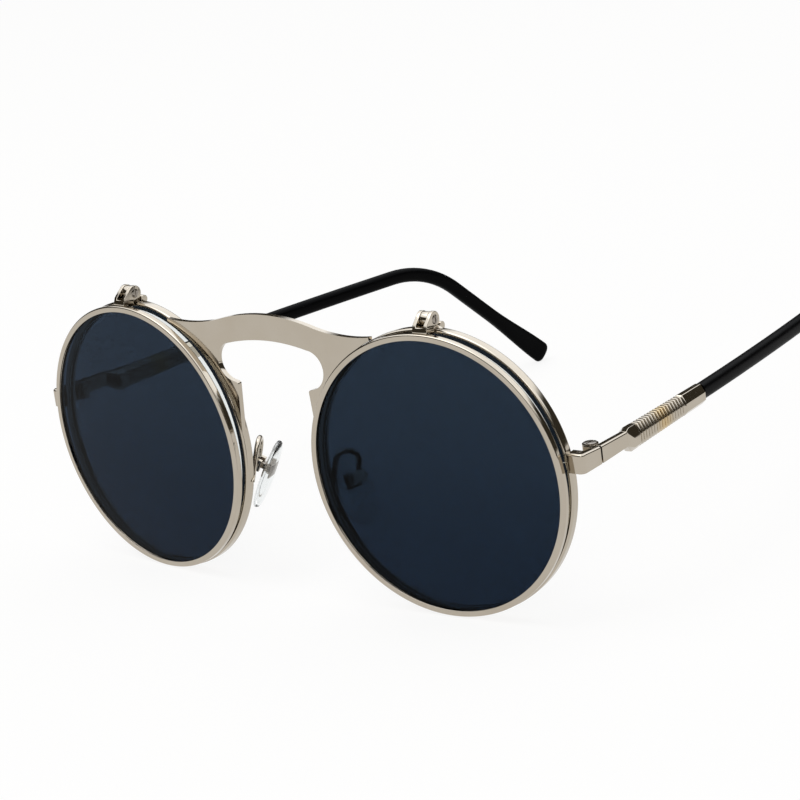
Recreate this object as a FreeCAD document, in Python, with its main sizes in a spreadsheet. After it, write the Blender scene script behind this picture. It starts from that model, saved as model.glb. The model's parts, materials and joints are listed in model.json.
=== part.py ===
import FreeCAD
import Part
import Sketcher
import math
import os
from types import SimpleNamespace

# Round flip up sunglasses, open, standing on their rims and on the temple tips.
# Millimetres and degrees. X runs to the wearer's left, Y to the back, Z up from the floor.
# The left half is drawn, and each right piece is a mirror image.

SIZES = {
    # Frame rims, with a V groove for the lens and a slit at the rim lock
    "rim_outer": 25.75,
    "rim_wall": 1.3,
    "rim_depth": 2.0,
    "rim_bevel": 0.25,
    "rim_groove_depth": 0.5,
    "rim_groove_width": 1.0,
    "rim_slit": 0.15,
    "lens_sag": 0.6,
    "lens_clearance": 0.05,
    # Bridge plate between the rims
    "bridge_gap": 17.62,
    "bridge_thickness": 1.0,
    "bridge_recess": 0.3,
    "bridge_crown_rise": 1.65,
    "bridge_wing_radius": 33.9,
    "bridge_lobe_radius": 3.6,
    "bridge_hook_radius": 0.5,
    "bridge_arch_rise": 1.05,
    # Flip rims, hung in front of the frame rims
    "flip_inset": 0.15,
    "flip_wall": 1.1,
    "flip_depth": 1.3,
    "flip_bevel": 0.2,
    "flip_groove_depth": 0.4,
    "flip_groove_width": 0.8,
    "flip_rest_gap": 0.15,
    # Flip hinge
    "flip_axis_rise": 1.6,
    "flip_axis_setback": 0.35,
    "flip_hinge_offset": 0.8,
    "flip_pin_radius": 0.5,
    "flip_knuckle_radius": 1.35,
    "flip_knuckle_length": 1.3,
    "flip_knuckle_low": 0.67,
    "flip_ear_radius": 1.45,
    "flip_apron_reach": 2.6,
    "flip_apron_drop": 0.3,
    "flip_ear_thickness": 0.73,
    "flip_side_clearance": 0.08,
    "flip_shelf_drop": 1.3,
    "flip_shelf_thickness": 0.95,
    "flip_shelf_back": 0.65,
    "flip_shelf_inset": 0.5,
    "flip_lip_drop": 0.7,
    "flip_lip_back": 1.6,
    "flip_head_radius": 0.85,
    "flip_head_height": 0.15,
    "flip_slot_width": 0.22,
    "flip_slot_depth": 0.1,
    "flip_neck_front": 0.1,
    "flip_foot_radius": 0.75,
    "flip_foot_length": 3.0,
    "flip_foot_setback": 0.3,
    "pin_clearance": 0.03,
    # End piece, bent round the rim lock
    "temple_rise": 4.0,
    "endpiece_overhang": 3.0,
    "endpiece_lead": 0.5,
    "endpiece_thickness": 1.2,
    "endpiece_bend": 1.0,
    "endpiece_length": 5.3,
    "endpiece_root_height": 3.4,
    "endpiece_end_height": 3.0,
    # Rim lock
    "lock_depth": 1.75,
    "lock_height": 2.7,
    "lock_split": 0.1,
    "lock_screw_radius": 0.45,
    "lock_head_radius": 0.75,
    "lock_head_height": 0.35,
    "lock_slot_width": 0.2,
    "lock_slot_depth": 0.15,
    # Temple hinge
    "hinge_inset": 2.7,
    "hinge_setback": 0.9,
    "hinge_radius": 1.4,
    "hinge_height": 3.05,
    "hinge_float": 0.05,
    "hinge_pin_radius": 0.6,
    "hinge_head_radius": 1.15,
    "hinge_head_height": 0.25,
    "hinge_web": 1.2,
    "hinge_slot_width": 0.28,
    "hinge_slot_depth": 0.15,
    "hinge_lift": 0.05,
    # Temple bars
    "joint_gap": 0.5,
    "bar_length": 8.5,
    "bar_end_height": 2.6,
    "ribbed_front_width": 3.0,
    "ribbed_front_height": 4.3,
    "ribbed_width": 2.7,
    "ribbed_height": 3.6,
    "ribbed_front_drop": 0.9,
    "ribbed_drop": 0.4,
    "ribbed_nose_chamfer": 0.12,
    "ribbed_length": 27.0,
    "rib_groove_depth": 0.25,
    "ferrule_round": 0.3,
    # Black temple tip and the wire inside it
    "bow_radius": 860.0,
    "bend_start": 50.8,
    "bend_radius": 25.0,
    "tip_start_drop": 0.2,
    "tip_height": 3.0,
    "tip_width": 2.5,
    "paddle_height": 4.7,
    "paddle_width": 1.9,
    "paddle_corner": 1.2,
    "wire_radius": 0.6,
    "wire_socket": 4.0,
    "wire_short": 9.0,
    # Nose pads and their arms
    "arm_radius": 0.5,
    "arm_rise": 6.0,
    "arm_loop_span": 4.4,
    "arm_drop": 1.2,
    "arm_root_depth": 1.4,
    "arm_root_bite": 0.15,
    "pad_box_width": 2.7,
    "pad_box_height": 2.2,
    "pad_box_front": 0.9,
    "pad_box_back": 1.15,
    "pad_box_floor": 0.4,
    "pad_lug_thickness": 1.0,
    "pad_lug_radius": 0.6,
    "pad_lug_clearance": 0.08,
    "pad_pin_radius": 0.3,
    "pad_head_radius": 0.5,
    "pad_head_height": 0.2,
    "pad_standoff": 1.6,
    "pad_thickness": 1.8,
    "pad_length": 14.0,
    "pad_width": 7.2,
    "pad_top": 5.8,
    "core_width": 3.0,
    "core_height": 2.8,
    "core_thickness": 0.5,
    "core_cover": 0.7,
    # How far every cutting shape runs past what it cuts
    "overrun": 1.0,
}

ANGLES = {
    "wrap_angle": 5.6,
    "flip_lean_angle": 1.9,
    "ear_round_angle": 45.0,
    "temple_toe_angle": 3.9,
    "tip_toe_angle": 5.8,
    "tip_drop_angle": 43.0,
    "arm_root_angle": 14.0,
    "arm_lean_angle": 24.0,
    "arm_swing_angle": 34.0,
    "pad_splay_angle": 20.0,
    "pad_tilt_angle": 27.0,
    "lobe_top_angle": 85.0,
    "lobe_low_angle": -78.0,
}

# Shares of the rim's outer radius: bridge places across, counted from the lens centre
# towards the nose, and up, counted from the lens centre
SHARES = {
    "crown_across_share": 0.8955,
    "crown_up_share": 0.957,
    "wing_across_share": 0.414,
    "wing_up_share": 0.931,
    "wing_root_up_share": 0.6,
    "lobe_across_share": 0.9965,
    "lobe_up_share": 0.658,
    "hook_across_share": 1.014,
    "hook_up_share": 0.51,
    "foot_across_share": 0.988,
    "foot_up_share": 0.132,
    "foot_root_across_share": 0.8,
    "endpiece_root_share": 0.9,
    # Where the hook's rounded corner starts on its upper side and ends on its nose side
    "hook_top_share": 0.35,
    "hook_side_share": 0.046,
    # Shares of the ribbed bar's length, width and height, and of the tip's straight fall
    "ribbed_taper_share": 0.08,
    "rib_start_share": 0.17,
    "rib_end_share": 0.737,
    "ribbed_chamfer_share": 0.29,
    "ribbed_roof_share": 0.32,
    "ribbed_roof_drop_share": 0.4,
    "paddle_flare_share": 0.6,
}

RIB_COUNT = 17
# One rib along its pitch, and how much of the groove's depth it stands up there
RIB_PROFILE_SHARES = ((0.0, 0.0), (0.3, 1.0), (0.7, 1.0))
# The tip's oval section: points round it, and how square its sides are
OVAL_POINTS = 16
OVAL_POWER = 0.8
# Steps between sections on the tip's straight run, bend, fall and flare, and round its end
STRAIGHT_STEPS = 6
BEND_STEPS = 12
FALL_STEPS = 2
FLARE_STEPS = 8
CORNER_STEPS = 5
# The nose pad's sections, as degrees from its top to its bottom, how far its belly hangs low,
# how blunt its edge is, and the least width of a section against its thickness
PAD_TURNS = (10, 30, 52, 75, 100, 126, 150, 170)
PAD_BELLY_SHARE = 0.18
PAD_EDGE_POWER = 0.5
PAD_LEAST_SHARE = 1.02

DOC = FreeCAD.newDocument("FlipUpSunglasses")
NODES = []
X_AXIS = "rotation(vector(0; 1; 0); 90)"
Y_AXIS = "rotation(vector(1; 0; 0); -90)"
Z_AXIS = "rotation(vector(0; 0; 1); 0)"


class Size:
    """A number together with the sheet expression that gives it."""

    def __init__(self, value, text):
        self.value = value
        self.text = text

    def __float__(self):
        return self.value

    def joined(self, sign, other, value):
        return Size(value, f"({self.text} {sign} {other.text})")

    def __add__(self, other):
        other = as_size(other)
        return self.joined("+", other, self.value + other.value)

    def __sub__(self, other):
        other = as_size(other)
        return self.joined("-", other, self.value - other.value)

    def __mul__(self, other):
        other = as_size(other)
        return self.joined("*", other, self.value * other.value)

    def __truediv__(self, other):
        other = as_size(other)
        return self.joined("/", other, self.value / other.value)

    def __neg__(self):
        return Size(-self.value, f"(-{self.text})")


def as_size(number):
    return number if isinstance(number, Size) else Size(float(number), str(number))


def sine(angle):
    return Size(math.sin(math.radians(angle.value)), f"sin({angle.text})")


def cosine(angle):
    return Size(math.cos(math.radians(angle.value)), f"cos({angle.text})")


def tangent(angle):
    return Size(math.tan(math.radians(angle.value)), f"tan({angle.text})")


def arc_radius(half_chord, rise):
    """Radius of the arc that rises so far over its half chord."""
    return (half_chord * half_chord + rise * rise) / (rise * 2)


# Sheet of driving dimensions

def fill_sheet():
    sheet = DOC.addObject("Spreadsheet::Sheet", "Sizes")
    rows = {**SIZES, **ANGLES, **SHARES, "front_setback": 0.0}
    for row, (alias, value) in enumerate(rows.items(), start=1):
        sheet.set(f"A{row}", alias)
        sheet.set(f"B{row}", str(value))
        sheet.setAlias(f"B{row}", alias)
    DOC.recompute()
    sizes = {alias: Size(float(sheet.get(alias)), f"Sizes.{alias}") for alias in rows}
    return sheet, SimpleNamespace(**sizes)


SHEET, d = fill_sheet()
ZERO = Size(0.0, "0")

# Places that several pieces share
LENS_CENTRE = d.rim_outer + d.bridge_gap / 2
RIM_INNER = d.rim_outer - d.rim_wall
FLIP_OUTER = d.rim_outer - d.flip_inset
FLIP_INNER = FLIP_OUTER - d.flip_wall
AXIS_UP = d.rim_outer + d.flip_axis_rise
LEAN_SLOPE = tangent(d.flip_lean_angle)
LEAN_COS = cosine(d.flip_lean_angle)
# The flip's front face lies this far ahead of its axis, so that its lowest edge
# stops a rest gap ahead of the frame rim, and its centre hangs this far below
FLIP_REACH = (d.flip_depth + (d.flip_rest_gap + d.flip_axis_setback) / LEAN_COS
              + (AXIS_UP / LEAN_COS + FLIP_OUTER) * LEAN_SLOPE) * LEAN_COS * LEAN_COS
FLIP_DROP = AXIS_UP / LEAN_COS - FLIP_REACH * LEAN_SLOPE
EAR_INNER = d.flip_knuckle_length / 2 + d.flip_side_clearance
EAR_OUTER = EAR_INNER + d.flip_ear_thickness
OUT_X = LENS_CENTRE + d.rim_outer * cosine(d.wrap_angle) + d.endpiece_overhang
ENDPIECE_FRONT = d.rim_outer * sine(d.wrap_angle) - d.endpiece_lead
GAP_Y = ENDPIECE_FRONT + d.endpiece_length
INNER_X = OUT_X - d.endpiece_thickness
HINGE_X = OUT_X - d.hinge_inset
HINGE_Y = GAP_Y + d.hinge_setback
HINGE_FOOT = d.temple_rise - d.hinge_height / 2 + d.hinge_lift
KNUCKLE_HEIGHT = (d.hinge_height - d.hinge_float * 2) / 3

FRONT = f"placement(vector(0; Sizes.front_setback; Sizes.rim_outer); {Z_AXIS})"
LENS = (f"placement(vector({LENS_CENTRE.text}; Sizes.front_setback; Sizes.rim_outer); "
        "rotation(vector(0; 0; 1); Sizes.wrap_angle))")
LENS_RIGHT = (f"placement(vector(-{LENS_CENTRE.text}; Sizes.front_setback; Sizes.rim_outer); "
              "rotation(vector(0; 0; 1); -Sizes.wrap_angle))")
FLIP = (f"{LENS} * placement(vector(Sizes.flip_hinge_offset; Sizes.flip_axis_setback; {AXIS_UP.text}); "
        "rotation(vector(1; 0; 0); Sizes.flip_lean_angle))")
TEMPLE = (f"{FRONT} * placement(vector({OUT_X.text}; {GAP_Y.text}; {d.temple_rise.text}); "
          "rotation(vector(0; 0; 1); Sizes.temple_toe_angle))")


# Building helpers

def place(item, frame, base=(ZERO, ZERO, ZERO), turn=Z_AXIS):
    x, y, z = (as_size(part).text for part in base)
    item.setExpression("Placement", f"{frame} * placement(vector({x}; {y}; {z}); {turn})")
    return item


def bind(item, **sizes):
    for name, size in sizes.items():
        item.setExpression(name, size.text)
    return item


def box(name, frame, low, high):
    """A block between two corners of a frame."""
    item = DOC.addObject("Part::Box", name)
    bind(item, Length=high[0] - low[0], Width=high[1] - low[1], Height=high[2] - low[2])
    return place(item, frame, low)


def rod(name, frame, base, radius, length, turn=Z_AXIS):
    """A round bar from its base, along the turned Z axis."""
    item = DOC.addObject("Part::Cylinder", name)
    bind(item, Radius=radius, Height=length)
    return place(item, frame, base, turn)


def fuse(name, *items):
    item = DOC.addObject("Part::MultiFuse", name)
    item.Shapes = list(items)
    return item


def cut(name, base, *tools):
    item = DOC.addObject("Part::Cut", name)
    item.Base = base
    item.Tool = tools[0] if len(tools) == 1 else fuse(f"{name}_tools", *tools)
    return item


def new_body(name, frame, base=(ZERO, ZERO, ZERO)):
    return place(DOC.addObject("PartDesign::Body", name), frame, base)


def arc_between(start, end, radius, turn):
    """The shorter arc from start to end: turn is 1 for counterclockwise, -1 for clockwise."""
    chord = end - start
    half = chord.Length / 2
    left = FreeCAD.Vector(-chord.y, chord.x, 0) / chord.Length
    centre = (start + end) / 2 + left * turn * math.sqrt(max(radius * radius - half * half, 0))
    first, last = (start, end) if turn > 0 else (end, start)
    angles = [math.atan2(point.y - centre.y, point.x - centre.x) for point in (first, last)]
    return Part.ArcOfCircle(Part.Circle(centre, FreeCAD.Vector(0, 0, 1), radius), *angles)


def outline(body, role, points, arcs=None):
    """A closed sketch on a plane of the body. arcs gives radius and turn for a side's number."""
    arcs = arcs or {}
    sketch = body.newObject("Sketcher::SketchObject", f"{body.Name}_outline")
    plane = next(item for item in body.Origin.OriginFeatures if item.Role == role)
    sketch.AttachmentSupport = (plane, [""])
    sketch.MapMode = "FlatFace"
    corners = [FreeCAD.Vector(x.value, y.value, 0) for x, y in points]
    starts = []
    for side, start in enumerate(corners):
        end = corners[(side + 1) % len(corners)]
        if side in arcs:
            radius, turn = arcs[side]
            sketch.addGeometry(arc_between(start, end, radius.value, turn), False)
            starts.append(1 if turn > 0 else 2)
        else:
            sketch.addGeometry(Part.LineSegment(start, end), False)
            starts.append(1)
    for side, (x, y) in enumerate(points):
        after = (side + 1) % len(points)
        end = 3 - starts[side]
        sketch.addConstraint(Sketcher.Constraint("Coincident", side, end, after, starts[after]))
        dimension(sketch, "DistanceX", side, starts[side], x)
        dimension(sketch, "DistanceY", side, starts[side], y)
    for side, (radius, turn) in arcs.items():
        number = sketch.addConstraint(Sketcher.Constraint("Radius", side, radius.value))
        sketch.setExpression(f"Constraints[{number}]", radius.text)
    return sketch


def dimension(sketch, kind, side, end, size):
    number = sketch.addConstraint(Sketcher.Constraint(kind, -1, 1, side, end, size.value))
    sketch.setExpression(f"Constraints[{number}]", size.text)


def revolve(body, sketch):
    item = body.newObject("PartDesign::Revolution", f"{body.Name}_turned")
    item.Profile = sketch
    item.ReferenceAxis = (sketch, ["V_Axis"])
    item.Angle = 360
    return body


def pad(body, sketch, length, reverse=False, symmetric=False):
    item = body.newObject("PartDesign::Pad", f"{body.Name}_pad")
    item.Profile = sketch
    item.SideType = "Symmetric" if symmetric else "One side"
    item.Reversed = reverse
    bind(item, Length=length)
    return body


def solid(name, frame, shape):
    item = DOC.addObject("Part::Feature", name)
    item.Shape = shape
    return place(item, frame)


def add_node(item, label):
    item.Label = label
    NODES.append(item)


def add_pair(item, label):
    """A left piece, and its mirror image for the right."""
    add_node(item, f"{label}_left")
    add_mirror(item, label)


def add_mirror(item, label):
    mirror = DOC.addObject("Part::Mirroring", f"{label}_mirror")
    mirror.Source = item
    mirror.Normal = FreeCAD.Vector(1, 0, 0)
    add_node(mirror, f"{label}_right")


def ring(name, frame, base, inner, outer, depth, bevel, groove_depth, groove_width):
    """A rim, turned about its lens axis, with a V groove round the inside."""
    body = new_body(name, frame, base)
    middle = depth / 2
    points = [
        (inner, ZERO), (outer - bevel, ZERO), (outer, bevel), (outer, depth - bevel),
        (outer - bevel, depth), (inner, depth), (inner, middle + groove_width / 2),
        (inner + groove_depth, middle), (inner, middle - groove_width / 2),
    ]
    return revolve(body, outline(body, "XY_Plane", points))


def lens(name, frame, base, inner, depth, groove_depth, groove_width):
    """A domed lens whose bevelled edge sits in the rim's groove."""
    body = new_body(name, frame, base)
    middle = depth / 2
    half = groove_width / 2 - d.lens_clearance
    edge = inner - d.lens_clearance
    tip = inner + groove_depth - d.lens_clearance * 2
    points = [
        (ZERO, middle - half - d.lens_sag), (edge, middle - half), (tip, middle),
        (edge, middle + half), (ZERO, middle + half - d.lens_sag),
    ]
    radius = arc_radius(edge, d.lens_sag)
    return revolve(body, outline(body, "XY_Plane", points, {0: (radius, 1), 3: (radius, -1)}))


def rim_space(name, frame=LENS, deep=True):
    """The round space that a rim fills, as a cutting shape."""
    margin = d.rim_depth + d.overrun if deep else ZERO
    return rod(name, frame, (ZERO, -margin, ZERO), d.rim_outer, d.rim_depth + margin * 2, Y_AXIS)


# Frame rims and clear lenses

def make_rims():
    body = ring("rim", LENS, (ZERO, ZERO, ZERO), RIM_INNER, d.rim_outer, d.rim_depth, d.rim_bevel,
                d.rim_groove_depth, d.rim_groove_width)
    slit = box("rim_slit_cut", LENS, (RIM_INNER - d.overrun, -d.overrun, d.temple_rise - d.rim_slit / 2),
               (d.rim_outer + d.overrun, d.rim_depth + d.overrun, d.temple_rise + d.rim_slit / 2))
    add_pair(cut("rim_cut", body, slit), "rim")
    clear = lens("clear_lens", LENS, (ZERO, ZERO, ZERO), RIM_INNER, d.rim_depth, d.rim_groove_depth,
                 d.rim_groove_width)
    add_pair(clear, "clear_lens")


# Bridge plate with its keyhole opening

def bridge_point(across, up):
    return LENS_CENTRE - d.rim_outer * across, d.rim_outer * up


def lobe_point(angle):
    x, z = bridge_point(d.lobe_across_share, d.lobe_up_share)
    return x + d.bridge_lobe_radius * cosine(angle), z + d.bridge_lobe_radius * sine(angle)


def between(start, end, share):
    return start[0] + (end[0] - start[0]) * share, start[1] + (end[1] - start[1]) * share


def make_bridge():
    crown = bridge_point(d.crown_across_share, d.crown_up_share)
    arch = lobe_point(d.lobe_top_angle)
    lobe_low = lobe_point(d.lobe_low_angle)
    hook = bridge_point(d.hook_across_share, d.hook_up_share)
    foot = bridge_point(d.foot_across_share, d.foot_up_share)
    half = [
        crown,
        bridge_point(d.wing_across_share, d.wing_up_share),
        bridge_point(d.wing_across_share, d.wing_root_up_share),
        bridge_point(d.foot_root_across_share, d.foot_up_share),
        foot,
        between(hook, foot, d.hook_side_share),
        between(hook, lobe_low, d.hook_top_share),
        lobe_low,
        arch,
    ]
    points = half + [(-x, z) for x, z in reversed(half)]
    lobe = (d.bridge_lobe_radius, 1)
    wing = (d.bridge_wing_radius, 1)
    corner = (d.bridge_hook_radius, -1)
    arcs = {
        0: wing, 5: corner, 7: lobe, 8: (arc_radius(arch[0], d.bridge_arch_rise), 1), 9: lobe, 11: corner,
        16: wing, 17: (arc_radius(crown[0], d.bridge_crown_rise), -1),
    }
    front = d.bridge_recess - d.rim_outer * sine(d.wrap_angle)
    body = new_body("bridge", FRONT, (ZERO, front, ZERO))
    pad(body, outline(body, "XZ_Plane", points, arcs), d.bridge_thickness, reverse=True)
    add_node(cut("bridge_cut", body, rim_space("bridge_space_left"),
                 rim_space("bridge_space_right", LENS_RIGHT)), "bridge_plate")


# Flip rims, dark lenses and the flip hinges

def make_flips():
    base = (-d.flip_hinge_offset, -FLIP_REACH, -FLIP_DROP)
    add_pair(ring("flip_rim", FLIP, base, FLIP_INNER, FLIP_OUTER, d.flip_depth, d.flip_bevel,
                  d.flip_groove_depth, d.flip_groove_width), "flip_rim")
    add_pair(lens("flip_lens", FLIP, base, FLIP_INNER, d.flip_depth, d.flip_groove_depth,
                  d.flip_groove_width), "flip_lens")


def make_clevises():
    """Two ears that slope down to a shelf on top of the flip rim, with a lip between them in front."""
    front = FLIP_REACH - d.flip_shelf_inset
    rear_x = d.flip_ear_radius * cosine(d.ear_round_angle)
    front_z = d.flip_ear_radius * sine(d.ear_round_angle)
    body = new_body("ear", FLIP)
    points = [
        (-front, -d.flip_shelf_drop), (-d.flip_shelf_back, -d.flip_shelf_drop), (rear_x, -front_z),
        (ZERO, d.flip_ear_radius), (-rear_x, front_z), (-d.flip_apron_reach, -d.flip_apron_drop),
    ]
    arcs = {2: (d.flip_ear_radius, 1), 3: (d.flip_ear_radius, 1)}
    pad(body, outline(body, "YZ_Plane", points, arcs), EAR_OUTER * 2, symmetric=True)
    window = box("ear_window", FLIP, (-EAR_INNER, -d.flip_lip_back, -d.flip_shelf_drop),
                 (EAR_INNER, d.flip_ear_radius * 2, d.flip_ear_radius * 2))
    notch = box("ear_notch", FLIP, (-EAR_INNER, -front - d.overrun, -d.flip_lip_drop),
                (EAR_INNER, d.overrun - d.flip_lip_back, d.flip_ear_radius * 2))
    shelf_low = -d.flip_shelf_drop - d.flip_shelf_thickness
    shelf = box("ear_shelf", FLIP, (-EAR_OUTER, -front, shelf_low),
                (EAR_OUTER, -d.flip_shelf_back, -d.flip_shelf_drop))
    seat = rod("ear_seat", FLIP, (-d.flip_hinge_offset, -FLIP_REACH, -FLIP_DROP), FLIP_OUTER, d.flip_depth,
               Y_AXIS)
    bore = rod("ear_bore", FLIP, (-EAR_OUTER - d.overrun, ZERO, ZERO), d.flip_pin_radius,
               (EAR_OUTER + d.overrun) * 2, X_AXIS)
    ears = cut("ears", body, window, notch)
    add_pair(cut("clevis", fuse("clevis_block", ears, shelf), seat, bore), "flip_clevis")


def flip_screw(name, side):
    """A pin through both ears, with its slotted head on the temple's side, or the nose's at -1."""
    top = EAR_OUTER + d.flip_head_height
    if side > 0:
        seat = EAR_OUTER
        slot_low = top - d.flip_slot_depth
        slot_high = top + d.overrun
    else:
        seat = -top
        slot_low = -top - d.overrun
        slot_high = -top + d.flip_slot_depth
    pin = rod(f"{name}_pin", FLIP, (-EAR_OUTER, ZERO, ZERO), d.flip_pin_radius, EAR_OUTER * 2, X_AXIS)
    head = rod(f"{name}_head", FLIP, (seat, ZERO, ZERO), d.flip_head_radius, d.flip_head_height, X_AXIS)
    slot = box(f"{name}_slot", FLIP, (slot_low, -d.flip_slot_width / 2, -d.flip_head_radius),
               (slot_high, d.flip_slot_width / 2, d.flip_head_radius))
    return cut(name, fuse(f"{name}_blank", pin, head), slot)


def make_flip_screws():
    """Both flip hinge screws go in from the wearer's left."""
    add_node(flip_screw("flip_screw_outward", 1), "flip_hinge_screw_left")
    add_mirror(flip_screw("flip_screw_inward", -1), "flip_hinge_screw")


def make_flip_bases():
    """The middle knuckle, open below at the front, its neck and a round foot, on the frame rim."""
    half = d.flip_knuckle_length / 2
    middle = d.flip_hinge_offset
    axis_y = d.flip_axis_setback
    knuckle = rod("base_knuckle", LENS, (middle - half, axis_y, AXIS_UP), d.flip_knuckle_radius,
                  d.flip_knuckle_length, X_AXIS)
    room = box("base_room", LENS,
               (middle - half - d.overrun, axis_y - d.flip_knuckle_radius - d.overrun, d.rim_outer),
               (middle + half + d.overrun, d.flip_neck_front, AXIS_UP - d.flip_knuckle_low))
    neck = new_body("base_neck", LENS, (middle, ZERO, ZERO))
    points = [
        (d.flip_neck_front, RIM_INNER), (d.rim_depth, RIM_INNER), (d.rim_depth, d.rim_outer),
        (axis_y + d.flip_knuckle_radius, AXIS_UP), (d.flip_neck_front, AXIS_UP),
    ]
    pad(neck, outline(neck, "YZ_Plane", points), d.flip_knuckle_length, symmetric=True)
    foot_base = (middle - d.flip_foot_length / 2, d.rim_depth + d.flip_foot_setback, d.rim_outer)
    foot = rod("base_foot", LENS, foot_base, d.flip_foot_radius, d.flip_foot_length, X_AXIS)
    bore = rod("base_bore", LENS, (middle - half - d.overrun, axis_y, AXIS_UP),
               d.flip_pin_radius + d.pin_clearance, (half + d.overrun) * 2, X_AXIS)
    block = fuse("base_block", cut("base_curl", knuckle, room), neck, foot)
    add_pair(cut("base_cut", block, bore, rim_space("base_space", deep=False)), "flip_hinge_base")


# End pieces, rim locks and the temple hinge's fixed half

def make_endpieces():
    root = LENS_CENTRE + d.rim_outer * d.endpiece_root_share
    front = ENDPIECE_FRONT
    plan = new_body("endpiece_plan", FRONT, (ZERO, ZERO, d.temple_rise))
    points = [
        (root, front), (OUT_X - d.endpiece_bend, front), (OUT_X, front + d.endpiece_bend), (OUT_X, GAP_Y),
        (INNER_X, GAP_Y), (INNER_X, front + d.endpiece_thickness), (root, front + d.endpiece_thickness),
    ]
    arcs = {1: (d.endpiece_bend, 1)}
    pad(plan, outline(plan, "XY_Plane", points, arcs), d.endpiece_root_height, symmetric=True)
    side = new_body("endpiece_side", FRONT, (ZERO, ZERO, d.temple_rise))
    tall = d.endpiece_root_height / 2
    short = d.endpiece_end_height / 2
    points = [(front, -tall), (GAP_Y, -short), (GAP_Y, short), (front, tall)]
    pad(side, outline(side, "YZ_Plane", points), (OUT_X + d.overrun) * 2, symmetric=True)
    plate = DOC.addObject("Part::Common", "endpiece_plate")
    plate.Base = plan
    plate.Tool = side
    pieces = [plate]
    step = KNUCKLE_HEIGHT + d.hinge_float
    for name, rise in (("low", ZERO), ("high", step * 2)):
        foot = HINGE_FOOT + rise
        pieces.append(rod(f"endpiece_knuckle_{name}", FRONT, (HINGE_X, HINGE_Y, foot), d.hinge_radius,
                          KNUCKLE_HEIGHT))
        pieces.append(box(f"endpiece_web_{name}", FRONT, (HINGE_X, GAP_Y - d.hinge_web, foot),
                          (INNER_X + d.endpiece_thickness / 2, GAP_Y, foot + KNUCKLE_HEIGHT)))
    bore = rod("endpiece_bore", FRONT, (HINGE_X, HINGE_Y, HINGE_FOOT - d.overrun), d.hinge_pin_radius,
               d.hinge_height + d.overrun * 2)
    block = fuse("endpiece_block", *pieces)
    add_pair(cut("endpiece_cut", block, bore, rim_space("endpiece_space")), "endpiece")


def slotted_screw(name, frame, base, shank, head, slot, turn):
    """A shank and a slotted head, which is at the top where turn is 1 and below where it is -1.

    shank and head are radius and length, slot is width and depth.
    """
    x, y, z = base
    radius, length = shank
    head_radius, head_height = head
    slot_width, slot_depth = slot
    if turn > 0:
        seat = z + length
        slot_low = seat + head_height - slot_depth
        slot_high = seat + head_height + d.overrun
    else:
        seat = z - head_height
        slot_low = seat - d.overrun
        slot_high = seat + slot_depth
    pin = rod(f"{name}_pin", frame, base, radius, length)
    cap = rod(f"{name}_cap", frame, (x, y, seat), head_radius, head_height)
    groove = box(f"{name}_groove", frame, (x - slot_width / 2, y - head_radius, slot_low),
                 (x + slot_width / 2, y + head_radius, slot_high))
    return cut(name, fuse(f"{name}_blank", pin, cap), groove)


def make_hinge_screws():
    shank = (d.hinge_pin_radius, d.hinge_height)
    head = (d.hinge_head_radius, d.hinge_head_height)
    slot = (d.hinge_slot_width, d.hinge_slot_depth)
    base = (HINGE_X, HINGE_Y, HINGE_FOOT)
    add_pair(slotted_screw("hinge_screw", FRONT, base, shank, head, slot, 1), "temple_hinge_screw")


def make_rim_locks():
    root = LENS_CENTRE + d.rim_outer * d.endpiece_root_share
    low_y = ENDPIECE_FRONT + d.endpiece_thickness
    high_y = low_y + d.lock_depth
    low_z = d.temple_rise - d.lock_height / 2
    screw_x = (LENS_CENTRE + d.rim_outer + INNER_X) / 2
    screw_y = (low_y + high_y) / 2
    halves = (
        ("lower", low_z, d.temple_rise - d.lock_split / 2),
        ("upper", d.temple_rise + d.lock_split / 2, low_z + d.lock_height),
    )
    for name, low, high in halves:
        block = box(f"lock_{name}_block", FRONT, (root, low_y, low), (INNER_X, high_y, high))
        bore = rod(f"lock_{name}_bore", FRONT, (screw_x, screw_y, low - d.overrun), d.lock_screw_radius,
                   high - low + d.overrun * 2)
        add_pair(cut(f"lock_{name}", block, bore, rim_space(f"lock_{name}_space")), f"rim_lock_{name}")
    shank = (d.lock_screw_radius, d.lock_height)
    head = (d.lock_head_radius, d.lock_head_height)
    slot = (d.lock_slot_width, d.lock_slot_depth)
    base = (screw_x, screw_y, low_z)
    add_pair(slotted_screw("lock_screw", FRONT, base, shank, head, slot, -1), "rim_lock_screw")


# Temples

def make_temple_bars():
    body = new_body("bar", TEMPLE)
    tall = d.endpiece_end_height / 2
    short = d.bar_end_height / 2
    points = [(d.joint_gap, -tall), (d.bar_length, -short), (d.bar_length, short), (d.joint_gap, tall)]
    pad(body, outline(body, "YZ_Plane", points), d.endpiece_thickness, reverse=True)
    foot = HINGE_FOOT + KNUCKLE_HEIGHT + d.hinge_float
    knuckle = rod("bar_knuckle", FRONT, (HINGE_X, HINGE_Y, foot), d.hinge_radius, KNUCKLE_HEIGHT)
    web = box("bar_web", FRONT, (HINGE_X, HINGE_Y, foot),
              (INNER_X + d.endpiece_thickness / 2, HINGE_Y + d.hinge_radius, foot + KNUCKLE_HEIGHT))
    bore = rod("bar_bore", FRONT, (HINGE_X, HINGE_Y, foot - d.overrun),
               d.hinge_pin_radius + d.pin_clearance, KNUCKLE_HEIGHT + d.overrun * 2)
    add_pair(cut("bar_cut", fuse("bar_block", body, knuckle, web), bore), "temple_bar")


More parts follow.
